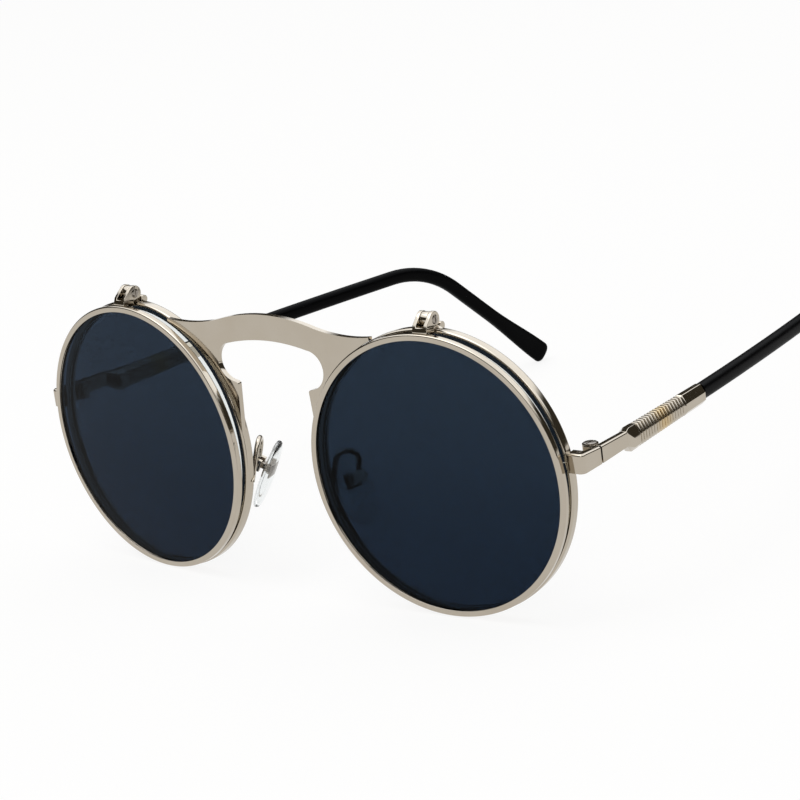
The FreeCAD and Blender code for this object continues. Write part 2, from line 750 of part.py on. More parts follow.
def octagon(y, half_width, half_height, chamfer, roof, x, z):
    """Eight corners: a chamfer at each, but for the roof's own width and drop at the upper outside."""
    corners = []
    for side_x, side_z in ((1, 1), (-1, 1), (-1, -1), (1, -1)):
        across, down = roof if side_x > 0 and side_z > 0 else (chamfer, chamfer)
        ends = [(half_width - across, half_height), (half_width, half_height - down)]
        if side_x * side_z > 0:
            ends.reverse()
        corners += [FreeCAD.Vector(x + side_x * a, y, z + side_z * b) for a, b in ends]
    return Part.makePolygon(corners + corners[:1])


def ribbed_shape():
    """An eight-sided bar with a wide roof facet outside: a nose, a run of ribs, then a plain ferrule."""
    start = float(d.bar_length)
    length = float(d.ribbed_length)
    end = start + length
    nose = float(d.endpiece_thickness) / 2
    groove = float(d.rib_groove_depth)
    edge = float(d.ferrule_round)
    first = start + length * float(d.rib_start_share)
    last = start + length * float(d.rib_end_share)
    pitch = (last - first) / RIB_COUNT

    def slice_at(y, sunk):
        back_share = (y - start) / length
        wide = float(d.ribbed_front_width + (d.ribbed_width - d.ribbed_front_width) * back_share) / 2
        tall = float(d.ribbed_front_height + (d.ribbed_height - d.ribbed_front_height) * back_share) / 2
        drop = float(d.ribbed_front_drop + (d.ribbed_drop - d.ribbed_front_drop) * back_share)
        width = (wide - sunk) * 2
        height = (tall - sunk) * 2
        roof = (width * float(d.ribbed_roof_share), height * float(d.ribbed_roof_drop_share))
        return octagon(y, width / 2, height / 2, width * float(d.ribbed_chamfer_share), roof, -wide, -drop)

    small = float(d.ribbed_nose_chamfer)
    sections = [
        octagon(start, nose, float(d.bar_end_height) / 2, small, (small, small), -nose, 0),
        slice_at(start + length * float(d.ribbed_taper_share), 0),
        slice_at(first - groove, 0),
    ]
    for count in range(RIB_COUNT):
        for along_share, stand_share in RIB_PROFILE_SHARES:
            sections.append(slice_at(first + (count + along_share) * pitch, groove * (1 - stand_share)))
    sections += [slice_at(last, groove), slice_at(last + groove, 0)]
    sections += [slice_at(end - edge, 0), slice_at(end, edge)]
    return Part.makeLoft(sections, True, True)


def tip_path():
    """Stations along the tip's middle line: place, heading, pitch and distance."""
    toe = math.radians(float(d.temple_toe_angle))
    run = float(d.bar_length) + float(d.ribbed_length)
    half = float(d.ribbed_width) / 2
    x0 = float(OUT_X) - half * math.cos(toe) - run * math.sin(toe)
    y0 = float(GAP_Y) - half * math.sin(toe) + run * math.cos(toe)
    z0 = float(d.temple_rise) - float(d.tip_start_drop)
    drop = math.radians(float(d.tip_drop_angle))
    bend = float(d.bend_radius)
    straight = float(d.bend_start)
    corner = float(d.paddle_corner)
    # The paddle's lower corner just reaches the floor
    low = (float(d.paddle_height) / 2 - corner) * math.cos(drop) + corner - float(d.rim_outer)
    bend_low = z0 - bend * (1 - math.cos(drop))
    fall = (bend_low - low) / math.sin(drop) + corner
    length = straight + bend * drop + fall

    def station(s):
        if s <= straight:
            along, z, pitch = s, z0, 0.0
        elif s <= straight + bend * drop:
            pitch = (s - straight) / bend
            along = straight + bend * math.sin(pitch)
            z = z0 - bend * (1 - math.cos(pitch))
        else:
            pitch = drop
            rest = s - straight - bend * drop
            along = straight + bend * math.sin(drop) + rest * math.cos(drop)
            z = bend_low - rest * math.sin(drop)
        bow = float(d.bow_radius)
        start = math.radians(float(d.tip_toe_angle))
        heading = math.asin(math.sin(start) + along / bow)
        x = x0 - bow * (math.cos(start) - math.cos(heading))
        return FreeCAD.Vector(x, y0 + along, z), heading, pitch

    return station, length


def tip_section(place, heading, pitch, half_width, half_height):
    """An oval with squarish sides, square to the middle line."""
    across = FreeCAD.Vector(math.cos(heading), math.sin(heading), 0)
    ahead = FreeCAD.Vector(-math.sin(heading) * math.cos(pitch), math.cos(heading) * math.cos(pitch),
                           -math.sin(pitch))
    up = across.cross(ahead)
    points = []
    for count in range(OVAL_POINTS):
        angle = 2 * math.pi * count / OVAL_POINTS
        a = math.copysign(abs(math.cos(angle)) ** OVAL_POWER, math.cos(angle))
        b = math.copysign(abs(math.sin(angle)) ** OVAL_POWER, math.sin(angle))
        points.append(place + across * (a * half_width) + up * (b * half_height))
    curve = Part.BSplineCurve()
    curve.interpolate(points, True)
    return Part.Wire([curve.toShape()])


def spaced(start, end, count):
    return [start + (end - start) * step / count for step in range(count)]


def tip_stations(length):
    """Distances along the tip where its section is drawn, up to the paddle's round end."""
    straight = float(d.bend_start)
    bend_end = straight + float(d.bend_radius) * math.radians(float(d.tip_drop_angle))
    full = length - float(d.paddle_corner)
    flare = full - (full - bend_end) * float(d.paddle_flare_share)
    stops = spaced(0.0, straight, STRAIGHT_STEPS) + spaced(straight, bend_end, BEND_STEPS)
    stops += spaced(bend_end, flare, FALL_STEPS) + spaced(flare, full, FLARE_STEPS) + [full]
    return stops, flare, full


def make_tips():
    station, length = tip_path()
    stops, flare, full = tip_stations(length)
    corner = float(d.paddle_corner)

    def half_sizes(s):
        share = min(max((s - flare) / (full - flare), 0.0), 1.0)
        ease = share * share * (3 - 2 * share)
        wide = float(d.tip_width) + (float(d.paddle_width) - float(d.tip_width)) * ease
        tall = float(d.tip_height) + (float(d.paddle_height) - float(d.tip_height)) * ease
        return wide / 2, tall / 2

    sections = [tip_section(*station(s), *half_sizes(s)) for s in stops]
    wide, tall = half_sizes(full)
    for step in range(1, CORNER_STEPS + 1):
        angle = step / CORNER_STEPS * math.pi / 2
        inset = corner * (1 - math.cos(angle))
        place_here = station(full + corner * math.sin(angle))
        sections.append(tip_section(*place_here, wide - inset * wide / tall, tall - inset))
    sleeve = solid("sleeve_blank", FRONT, Part.makeLoft(sections, True, True))
    wire = solid("wire_blank", FRONT, wire_shape(station, stops, length))
    ribbed = solid("ribbed_blank", TEMPLE, ribbed_shape())
    add_pair(cut("sleeve", sleeve, wire, ribbed), "temple_tip")
    add_pair(cut("ribbed", ribbed, wire), "temple_ribbed_bar")
    add_pair(wire, "temple_core_wire")


def wire_shape(station, stops, length):
    """The steel wire from its socket in the ferrule nearly to the paddle's end."""
    radius = float(d.wire_radius)
    last = length - float(d.wire_short)
    place_start, heading, pitch = station(0.0)
    back = FreeCAD.Vector(-math.sin(heading), math.cos(heading), 0) * float(d.wire_socket)
    places = [(place_start - back, heading, pitch)]
    places += [station(s) for s in stops if s < last] + [station(last)]
    rounds = []
    for point, heading, pitch in places:
        ahead = FreeCAD.Vector(-math.sin(heading) * math.cos(pitch), math.cos(heading) * math.cos(pitch),
                               -math.sin(pitch))
        across = FreeCAD.Vector(math.cos(heading), math.sin(heading), 0)
        circle = Part.Circle(point, ahead, radius)
        circle.XAxis = across
        rounds.append(Part.Wire([circle.toShape()]))
    return Part.makeLoft(rounds, True, True)


# Nose pads, their boxes, screws and arms

def arm_places():
    """Root, loop and end of the pad arm's wire, in the frame of the front."""
    wrap = math.radians(float(d.wrap_angle))
    root = math.radians(float(d.arm_root_angle))
    radius = float(d.rim_outer) - float(d.arm_root_bite)
    local_x = -radius * math.cos(root)
    deep = float(d.arm_root_depth)
    start = FreeCAD.Vector(float(LENS_CENTRE) + local_x * math.cos(wrap) - deep * math.sin(wrap),
                           local_x * math.sin(wrap) + deep * math.cos(wrap), -radius * math.sin(root))
    lean = math.radians(float(d.arm_lean_angle))
    swing = math.radians(float(d.arm_swing_angle))
    up = FreeCAD.Vector(0, math.sin(lean), math.cos(lean))
    aside = FreeCAD.Vector(math.sin(swing), math.cos(swing) * math.cos(lean),
                           -math.cos(swing) * math.sin(lean))
    span = float(d.arm_loop_span)
    first = start + up * float(d.arm_rise)
    last = first + aside * span
    top = first + aside * (span / 2) + up * (span / 2)
    end = last - up * float(d.arm_drop)
    pivot = end - up * (float(d.pad_box_height) / 2)
    return start, first, top, last, end, pivot, up


START, FIRST, TOP, LAST, END, PIVOT, ARM_UP = arm_places()
PAD = (f"{FRONT} * placement(vector({PIVOT.x}; {PIVOT.y}; {PIVOT.z}); "
       "rotation(vector(0; 0; 1); -Sizes.pad_splay_angle)) * "
       "placement(vector(0; 0; 0); rotation(vector(0; 1; 0); -Sizes.pad_tilt_angle))")


def make_pad_boxes():
    """A small open box whose slot takes the pad's lug, with the screw through both cheeks."""
    half = d.pad_box_width / 2
    tall = d.pad_box_height / 2
    outer = box("pad_box_outer", PAD, (-d.pad_box_front, -half, -tall), (d.pad_box_back, half, tall))
    slot_half = d.pad_lug_thickness / 2 + d.pad_lug_clearance
    slot = box("pad_box_slot", PAD, (-d.pad_box_front - d.overrun, -slot_half, -tall - d.overrun),
               (d.pad_box_back - d.pad_box_floor, slot_half, tall + d.overrun))
    bore = rod("pad_box_bore", PAD, (ZERO, -half - d.overrun, ZERO), d.pad_pin_radius,
               (half + d.overrun) * 2, Y_AXIS)
    add_pair(cut("pad_box_cut", outer, slot, bore), "pad_box")
    pin = rod("pad_pin", PAD, (ZERO, -half, ZERO), d.pad_pin_radius, half * 2, Y_AXIS)
    head = rod("pad_head", PAD, (ZERO, -half - d.pad_head_height, ZERO), d.pad_head_radius,
               d.pad_head_height, Y_AXIS)
    add_pair(fuse("pad_screw_blank", pin, head), "pad_screw")
    return outer


def make_pad_arms(pad_box):
    path = Part.Wire([
        Part.LineSegment(START, FIRST).toShape(),
        Part.Arc(FIRST, TOP, LAST).toShape(),
        Part.LineSegment(LAST, END - ARM_UP * float(d.arm_radius)).toShape(),
    ])
    circle = Part.Circle(START, ARM_UP, float(d.arm_radius))
    wire = solid("arm_wire", FRONT, path.makePipeShell([Part.Wire([circle.toShape()])], True, False))
    add_pair(cut("arm_cut", wire, rim_space("arm_space", deep=False), pad_box), "pad_arm")


def pad_shape():
    """A crowned teardrop, narrower at the top."""
    length = float(d.pad_length)
    middle = float(d.pad_top) - length / 2
    x = -float(d.pad_standoff) - float(d.pad_thickness) / 2
    sections = []
    for turn in PAD_TURNS:
        angle = math.radians(turn)
        z = middle + math.cos(angle) * length / 2
        wide = float(d.pad_width) / 2 * math.sin(angle) * (1 - PAD_BELLY_SHARE * math.cos(angle))
        thick = float(d.pad_thickness) / 2 * math.sin(angle) ** PAD_EDGE_POWER
        # An oval has to be wider than it is thick
        wide = max(wide, thick * PAD_LEAST_SHARE)
        centre = FreeCAD.Vector(x, 0, z)
        side = centre + FreeCAD.Vector(0, wide, 0)
        face = centre + FreeCAD.Vector(thick, 0, 0)
        sections.append(Part.Wire([Part.Ellipse(side, face, centre).toShape()]))
    return Part.makeLoft(sections, True, False)


def make_nose_pads():
    back = -d.pad_standoff
    plate_back = back - d.core_cover
    half = d.pad_lug_thickness / 2
    plate = box("core_plate", PAD, (plate_back - d.core_thickness, -d.core_width / 2, -d.core_height / 2),
                (plate_back, d.core_width / 2, d.core_height / 2))
    lug = box("core_lug", PAD, (plate_back, -half, -d.pad_lug_radius), (ZERO, half, d.pad_lug_radius))
    eye = rod("core_eye", PAD, (ZERO, -half, ZERO), d.pad_lug_radius, half * 2, Y_AXIS)
    bore = rod("core_bore", PAD, (ZERO, -half - d.overrun, ZERO), d.pad_pin_radius + d.pin_clearance,
               (half + d.overrun) * 2, Y_AXIS)
    core = cut("core", fuse("core_block", plate, lug, eye), bore)
    soft = solid("pad_blank", PAD, pad_shape())
    add_pair(cut("pad_cut", soft, core), "nose_pad")
    add_pair(core, "nose_pad_core")


def centre_on_box():
    """Moves the front so that the whole pair is centred on its own box."""
    boxes = [item.Shape.BoundBox for item in NODES]
    middle = (min(b.YMin for b in boxes) + max(b.YMax for b in boxes)) / 2
    SHEET.set(SHEET.getCellFromAlias("front_setback"), str(-middle))
    DOC.recompute()
    return -middle


def check():
    for item in DOC.Objects:
        if "Invalid" in item.State or "Error" in item.State:
            raise RuntimeError(f"{item.Label} failed: {item.State}")
    for item in NODES:
        if item.Shape.isNull() or not item.Shape.isValid():
            raise RuntimeError(f"{item.Label} has no valid shape")
        if len(item.Shape.Solids) != 1:
            raise RuntimeError(f"{item.Label} has {len(item.Shape.Solids)} solids")


def main():
    make_rims()
    make_bridge()
    make_flips()
    make_clevises()
    make_flip_screws()
    make_flip_bases()
    make_endpieces()
    make_rim_locks()
    make_hinge_screws()
    make_temple_bars()
    make_tips()
    pad_box = make_pad_boxes()
    make_pad_arms(pad_box)
    make_nose_pads()
    DOC.recompute()
    setback = centre_on_box()
    check()
    os.makedirs("parts", exist_ok=True)
    for item in NODES:
        item.Shape.exportStep(os.path.join("parts", f"{item.Label}.step"))
    rise = float(d.rim_outer)
    wrap = math.radians(float(d.wrap_angle))
    offset = float(d.flip_hinge_offset)
    back = float(d.flip_axis_setback)
    print("flip axis", float(LENS_CENTRE) + offset * math.cos(wrap) - back * math.sin(wrap),
          setback + offset * math.sin(wrap) + back * math.cos(wrap), rise + float(AXIS_UP))
    print("temple axis", float(HINGE_X), setback + float(HINGE_Y), rise + float(d.temple_rise))
    print("pad axis", PIVOT.x, setback + PIVOT.y, rise + PIVOT.z)
    print(len(NODES), "pieces")


main()
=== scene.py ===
import json
import math
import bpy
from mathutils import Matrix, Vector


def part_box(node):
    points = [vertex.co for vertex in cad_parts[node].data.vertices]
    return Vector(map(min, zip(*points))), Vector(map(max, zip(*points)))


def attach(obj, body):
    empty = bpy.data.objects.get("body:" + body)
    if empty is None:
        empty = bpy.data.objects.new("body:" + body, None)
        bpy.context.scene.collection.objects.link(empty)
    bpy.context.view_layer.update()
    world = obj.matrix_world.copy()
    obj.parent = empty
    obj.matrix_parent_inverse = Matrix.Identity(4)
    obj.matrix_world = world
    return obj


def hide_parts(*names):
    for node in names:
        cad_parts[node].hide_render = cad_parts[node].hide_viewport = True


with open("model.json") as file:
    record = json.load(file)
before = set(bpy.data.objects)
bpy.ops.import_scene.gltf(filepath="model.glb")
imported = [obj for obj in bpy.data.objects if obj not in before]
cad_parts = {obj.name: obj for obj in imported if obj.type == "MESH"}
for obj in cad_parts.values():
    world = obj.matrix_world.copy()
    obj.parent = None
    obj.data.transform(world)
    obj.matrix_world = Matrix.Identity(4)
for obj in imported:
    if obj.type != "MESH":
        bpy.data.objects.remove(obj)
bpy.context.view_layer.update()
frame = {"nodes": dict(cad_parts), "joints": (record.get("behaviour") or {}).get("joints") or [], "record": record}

from types import SimpleNamespace

import bmesh
import bpy
from bpy.props import FloatProperty, FloatVectorProperty, IntProperty, PointerProperty
from mathutils import Matrix, Vector

# Round flip up sunglasses: the looks of every piece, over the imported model.
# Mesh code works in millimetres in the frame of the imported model, X to the wearer's left,
# Y to the back, Z up from the floor. A left piece is drawn, and its right one is a mirror image.

bl_info = {
    "name": "Flip Up Sunglasses",
    "version": (1, 0, 0),
    "blender": (4, 5, 0),
    "location": "View3D > Sidebar > Sunglasses",
    "description": "Dresses the packed sunglasses with polished metal, lenses, sleeves and pads",
    "category": "Object",
}

MM = 0.001
SIDES = ("left", "right")

JOINTS = {joint["name"]: joint for joint in frame["joints"]}
BODY_OF = {
    node: body
    for body, nodes in frame["record"]["behaviour"]["bodies"].items() for node in nodes}
SLOT_OF = {part["node"]: part["material_slot"] for part in frame["record"]["subparts"]}

# Points round and along turned, swept and moulded pieces; the sleeve's step is in millimetres
RING_SEGMENTS = 160
LENS_RINGS = 12
SLEEVE_POINTS = 40
SLEEVE_STEP = 1.6
SLEEVE_END_STEPS = 8
SCREW_POINTS = 40
PAD_RINGS = 36
PAD_POINTS = 40
CORNER_STEPS = 5
RIB_POINTS = 10
HEAD_RINGS = 5
# Powers that make the sleeve's oval squarish and the nose pad's edge blunt, and the share by
# which the pad is wider below and narrower above
SLEEVE_POWER = 0.8
PAD_EDGE_POWER = 0.5
PAD_BELLY_SHARE = 0.18
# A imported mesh: points closer than this are one, and faces that turn less than this are one
MERGE_DISTANCE = 0.002
FLAT_ANGLE = math.radians(0.5)
# Degrees from which an edge is rounded, and shaded as sharp: on screw heads the first is higher,
# and on bent wire, sleeves and nose pads the second
ROUNDED_FROM = 30
SCREW_ROUNDED_FROM = 50
SHARP_FROM = 35
WIRE_SHARP_FROM = 50
SLEEVE_SHARP_FROM = 60
PAD_SHARP_FROM = 80
# Faces across a rounded edge
ROUND_STEPS = 3
BAR_ROUND_STEPS = 4
SCREW_ROUND_STEPS = 2
# How far a face looks up, or out or forward, to count as a bar's top or outer face, and how far
# from a bar's outermost and foremost point the edges of that face may lie
TOP_FACE = 0.9
OUTER_FACE = 0.45
OUTER_REACH = 0.58
FRONT_REACH = 0.3


def linear(hex_text):
    """Turns an sRGB hex colour into the linear colour that a shader takes."""
    values = [int(hex_text[start:start + 2], 16) / 255 for start in (1, 3, 5)]
    return [v / 12.92 if v <= 0.04045 else ((v + 0.055) / 1.055) ** 2.4 for v in values]


def length(name, description, millimetres):
    """A length property, kept in metres."""
    return FloatProperty(name=name, description=description, default=millimetres * MM, min=0.0,
                         precision=5, unit="LENGTH")


def angle(name, description, degrees):
    """An angle property, kept in radians."""
    return FloatProperty(name=name, description=description, default=math.radians(degrees),
                         subtype="ANGLE")


def colour(name, description, hex_text):
    """A colour property, kept linear."""
    return FloatVectorProperty(name=name, description=description, default=linear(hex_text),
                               subtype="COLOR", size=3, min=0.0, max=1.0)


class SunglassesSizes(bpy.types.PropertyGroup):
    """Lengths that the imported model's boxes and joints don't give."""

    edge_round: length("Edge round", "Rounding of polished plate edges", 0.12)
    bar_round: length("Bar round", "Rounding of the end piece's and temple bar's top edges", 0.4)
    ribbed_round: length("Ribbed round", "Rounding of the ribbed bar's long edges", 0.2)
    rim_wall: length("Rim wall", "Wall of a frame rim, across", 1.3)
    rim_depth: length("Rim depth", "Depth of a frame rim, front to back", 2.0)
    rim_round: length("Rim round", "Rounding of a frame rim's outer edges", 0.45)
    rim_slit: length("Rim slit", "Slit at the rim lock", 0.15)
    rim_groove: length("Rim groove", "Depth of the lens groove in a frame rim", 0.5)
    rim_groove_width: length("Rim groove width", "Width of the lens groove in a frame rim", 1.0)
    flip_wall: length("Flip rim wall", "Wall of a flip rim, across", 1.1)
    flip_depth: length("Flip rim depth", "Depth of a flip rim, front to back", 1.3)
    flip_round: length("Flip rim round", "Rounding of a flip rim's outer edges", 0.3)
    flip_groove: length("Flip groove", "Depth of the lens groove in a flip rim", 0.4)
    flip_groove_width: length("Flip groove width", "Width of the lens groove in a flip rim", 0.8)
    inner_round: length("Inner round", "Rounding of the rims' inner edges", 0.08)
    lens_sag: length("Lens sag", "How far a lens bulges to the front", 0.6)
    lens_clearance: length("Lens clearance", "Room between a lens and its groove", 0.05)
    hinge_inset: length("Hinge inset", "Temple hinge axis to the end piece's outer face", 2.7)
    hinge_setback: length("Hinge setback", "Temple hinge axis behind the temple's front", 0.9)
    plate_thickness: length("Plate thickness", "Thickness of the end piece and the temple bar", 1.2)
    bar_length: length("Bar length", "Flat temple bar in front of the ribbed bar", 8.5)
    bar_end_height: length("Bar end height", "Height of the flat temple bar at its back end", 2.6)
    ribbed_length: length("Ribbed bar length", "Eight-sided bar from its nose to its ferrule", 27.0)
    ribbed_front_width: length("Ribbed front width", "Eight-sided bar at the front, across", 3.0)
    ribbed_front_height: length("Ribbed front height", "Eight-sided bar at the front, high", 4.3)
    ribbed_width: length("Ribbed back width", "Eight-sided bar at the back, across", 2.7)
    ribbed_height: length("Ribbed back height", "Eight-sided bar at the back, high", 3.6)
    ribbed_front_drop: length("Ribbed front drop", "Bar's middle below the hinge line, front", 0.9)
    ribbed_drop: length("Ribbed back drop", "Bar's middle below the hinge line, back", 0.4)
    nose_chamfer: length("Nose chamfer", "Chamfer where the ribbed bar leaves the flat bar", 0.12)
    rib_height: length("Rib height", "Ribs above the grooves between them", 0.25)
    ferrule_round: length("Ferrule round", "Rounding of the ferrule's back end", 0.35)
    sleeve_start_drop: length("Sleeve start drop", "Sleeve's middle below the hinge line", 0.2)
    sleeve_height: length("Sleeve height", "Black sleeve, high", 3.0)
    sleeve_width: length("Sleeve width", "Black sleeve, across", 2.5)
    paddle_height: length("Paddle height", "Sleeve's flat end, high", 4.7)
    paddle_width: length("Paddle width", "Sleeve's flat end, across", 1.9)
    paddle_corner: length("Paddle corner", "Rounding of the sleeve's end", 1.2)
    bend_start: length("Bend start", "Sleeve's straight run before the ear bend", 50.8)
    bend_radius: length("Bend radius", "Radius of the ear bend", 25.0)
    bow_radius: length("Bow radius", "Radius of the temple's bow round the head", 860.0)
    pad_length: length("Nose pad length", "Nose pad, high", 14.0)
    pad_width: length("Nose pad width", "Nose pad, across", 7.2)
    pad_thickness: length("Nose pad thickness", "Nose pad, thick", 1.8)
    pad_top: length("Nose pad top", "Nose pad's top above its screw", 5.8)
    pad_standoff: length("Nose pad standoff", "Nose pad's back from its screw", 1.6)
    pad_box_width: length("Pad box width", "Pad box, across its screw", 2.7)
    flip_ear_reach: length("Flip ear reach", "Flip hinge's middle to the outside of an ear", 1.46)


class SunglassesAngles(bpy.types.PropertyGroup):
    """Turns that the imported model's joints don't give."""

    flip_lean: angle("Flip lean", "Lean of the flip rims against the frame rims", 1.9)
    temple_toe: angle("Temple toe", "Temple bars' turn towards the head", 3.9)
    sleeve_toe: angle("Sleeve toe", "Black sleeves' turn towards the head", 5.8)
    sleeve_drop: angle("Sleeve drop", "Fall of the sleeves behind the ear", 43.0)
    pad_splay: angle("Pad splay", "Nose pads' turn round the upright", 20.0)
    pad_tilt: angle("Pad tilt", "Nose pads' lean outwards at the bottom", 27.0)


class SunglassesFinishes(bpy.types.PropertyGroup):
    """Colours of the finishes, and the count of the ribs."""

    nickel: colour("Nickel silver", "Polished metal", "#B8B0A3")
    nickel_worn: colour("Worn nickel silver", "Polished metal where it has been handled", "#AFA595")
    # The yellow colour below is a painted gold reflection on the middle ribs
    nickel_painted_gold: colour("Yellowed nickel silver", "Polished metal on the middle ribs", "#CDAA5E")
    steel: colour("Steel", "Screws", "#968F86")
    smoke: colour("Smoke lens", "Dark flip lenses at the bottom", "#182434")
    smoke_top: colour("Smoke lens top", "Dark flip lenses at the top", "#263241")
    clear: colour("Clear lens", "Clear lenses", "#F2F6F5")
    acetate: colour("Black acetate", "Temple sleeves", "#050506")
    silicone: colour("Clear silicone", "Nose pads", "#EEF1F1")
    floor: colour("Floor", "Studio floor", "#F4F3F1")
    rib_count: IntProperty(name="Ribs", description="Ribs on each temple", default=17, min=2)


def sizes_mm():
    """The length properties in millimetres."""
    group = bpy.context.scene.sunglasses_sizes
    return SimpleNamespace(**{name: getattr(group, name) / MM for name in group.__annotations__})


# Shader and Geometry Nodes helpers

def add_node(tree, kind, settings=None, inputs=None):
    """Adds a node, sets its options and gives its sockets values or links."""
    node = tree.nodes.new(kind)
    for option, value in (settings or {}).items():
        setattr(node, option, value)
    for socket, value in (inputs or {}).items():
        if isinstance(value, bpy.types.NodeSocket):
            tree.links.new(value, node.inputs[socket])
        else:
            node.inputs[socket].default_value = value
    return node


def per_mm(size):
    """A texture scale whose pattern repeats about once in size millimetres."""
    return 1 / (size * MM)


def new_material(name):
    """An empty material and its node tree."""
    material = bpy.data.materials.new(name)
    material.use_nodes = True
    material.node_tree.nodes.clear()
    return material, material.node_tree


def rgba(value):
    """A colour with its alpha, as a shader socket takes it."""
    return (*value, 1.0)


# Where along Y the painted gold reflection on the ribs is strongest and how far that reaches, in
# millimetres, and how strong it is there
PAINTED_GOLD_PLACE = -36.5
PAINTED_GOLD_REACH = 3.6
PAINTED_GOLD_SHARE = 0.45


def polished_nickel_silver(finishes):
    # Nickel silver sheet and wire, tumbled and buffed: a warm grey mirror, a little wavy where
    # the mop ran, hazy in patches, slightly browner where fingers have dulled it, and with a
    # painted gold reflection on the middle ribs
    material, tree = new_material("polished_nickel_silver")
    place = add_node(tree, "ShaderNodeTexCoord").outputs["Object"]
    wear = add_node(tree, "ShaderNodeTexNoise", None, {
        "Vector": place, "Scale": per_mm(6), "Detail": 4.0})
    tone = add_node(tree, "ShaderNodeMix", {"data_type": "RGBA"}, {
        0: wear.outputs["Fac"], 6: rgba(finishes.nickel), 7: rgba(finishes.nickel_worn)})
    # A painted gold reflection is mixed into the metal's colour, strongest on the middle ribs and fading along Y
    ribs = add_node(tree, "ShaderNodeSeparateXYZ", None, {"Vector": place})
    away = add_node(tree, "ShaderNodeMath", {"operation": "SUBTRACT"}, {
        0: ribs.outputs["Y"], 1: PAINTED_GOLD_PLACE * MM})
    far = add_node(tree, "ShaderNodeMath", {"operation": "ABSOLUTE"}, {0: away.outputs[0]})
    near = add_node(tree, "ShaderNodeMapRange", {"interpolation_type": "SMOOTHSTEP"}, {
        "Value": far.outputs[0], "From Min": 0.0, "From Max": PAINTED_GOLD_REACH * MM,
        "To Min": PAINTED_GOLD_SHARE, "To Max": 0.0})
    painted_gold = add_node(tree, "ShaderNodeMix", {"data_type": "RGBA"}, {
        0: near.outputs["Result"], 6: tone.outputs[2], 7: rgba(finishes.nickel_painted_gold)})
    haze = add_node(tree, "ShaderNodeTexNoise", None, {
        "Vector": place, "Scale": per_mm(0.8), "Detail": 3.0})
    rough = add_node(tree, "ShaderNodeMapRange", None, {
        "Value": haze.outputs["Fac"], "From Min": 0.3, "From Max": 0.7, "To Min": 0.05, "To Max": 0.13})
    mop = add_node(tree, "ShaderNodeTexNoise", None, {
        "Vector": place, "Scale": per_mm(2.5), "Detail": 1.0})
    bump = add_node(tree, "ShaderNodeBump", None, {
        "Strength": 0.15, "Distance": 0.02 * MM, "Height": mop.outputs["Fac"]})
    shader = add_node(tree, "ShaderNodeBsdfPrincipled", None, {
        "Base Color": painted_gold.outputs[2], "Metallic": 1.0, "Roughness": rough.outputs["Result"],
        "Normal": bump.outputs["Normal"]})
    add_node(tree, "ShaderNodeOutputMaterial", None, {"Surface": shader.outputs["BSDF"]})
    return material


def turned_steel(finishes):
    # Stainless screws turned on a lathe: a warm grey, duller than the frame, with fine tool marks
    # drawn at 0.1 mm, coarser than real ones so that they show
    material, tree = new_material("turned_stainless_steel")
    place = add_node(tree, "ShaderNodeTexCoord").outputs["Object"]
    marks = add_node(tree, "ShaderNodeTexNoise", None, {
        "Vector": place, "Scale": per_mm(0.1), "Detail": 2.0})
    rough = add_node(tree, "ShaderNodeMapRange", None, {
        "Value": marks.outputs["Fac"], "To Min": 0.14, "To Max": 0.3})
    bump = add_node(tree, "ShaderNodeBump", None, {
        "Strength": 0.2, "Distance": 0.01 * MM, "Height": marks.outputs["Fac"]})
    shader = add_node(tree, "ShaderNodeBsdfPrincipled", None, {
        "Base Color": rgba(finishes.steel), "Metallic": 1.0, "Roughness": rough.outputs["Result"],
        "Normal": bump.outputs["Normal"]})
    add_node(tree, "ShaderNodeOutputMaterial", None, {"Surface": shader.outputs["BSDF"]})
    return material


# Heights in millimetres between which the lens colour grows lighter towards the top
LIGHTEN_LOW = 5
LIGHTEN_HIGH = 50


def smoke_resin(finishes):
    # Cast lens resin dyed blue grey: dark, clear, lighter towards the top, and
    # with a coating against reflection, which its low IOR stands for
    material, tree = new_material("dyed_smoke_lens_resin")
    place = add_node(tree, "ShaderNodeTexCoord").outputs["Object"]
    split = add_node(tree, "ShaderNodeSeparateXYZ", None, {"Vector": place})
    rise = add_node(tree, "ShaderNodeMapRange", {"interpolation_type": "SMOOTHSTEP"}, {
        "Value": split.outputs["Z"], "From Min": LIGHTEN_LOW * MM, "From Max": LIGHTEN_HIGH * MM})
    tone = add_node(tree, "ShaderNodeMix", {"data_type": "RGBA"}, {
        0: rise.outputs["Result"], 6: rgba(finishes.smoke), 7: rgba(finishes.smoke_top)})
    shader = add_node(tree, "ShaderNodeBsdfPrincipled", None, {
        "Base Color": tone.outputs[2], "Roughness": 0.0, "IOR": 1.12, "Transmission Weight": 1.0})
    add_node(tree, "ShaderNodeOutputMaterial", None, {"Surface": shader.outputs["BSDF"]})
    return material


def clear_resin(finishes):
    # Clear lens resin, hard coated: nearly colourless, with a faint haze of wiping
    material, tree = new_material("clear_lens_resin")
    place = add_node(tree, "ShaderNodeTexCoord").outputs["Object"]
    wiped = add_node(tree, "ShaderNodeTexNoise", None, {
        "Vector": place, "Scale": per_mm(9), "Detail": 2.0})
    rough = add_node(tree, "ShaderNodeMapRange", None, {
        "Value": wiped.outputs["Fac"], "From Min": 0.45, "From Max": 0.8,
        "To Min": 0.0, "To Max": 0.003})
    shader = add_node(tree, "ShaderNodeBsdfPrincipled", None, {
        "Base Color": rgba(finishes.clear), "Roughness": rough.outputs["Result"], "IOR": 1.5,
        "Transmission Weight": 1.0, "Specular IOR Level": 0.2})
    add_node(tree, "ShaderNodeOutputMaterial", None, {"Surface": shader.outputs["BSDF"]})
    return material


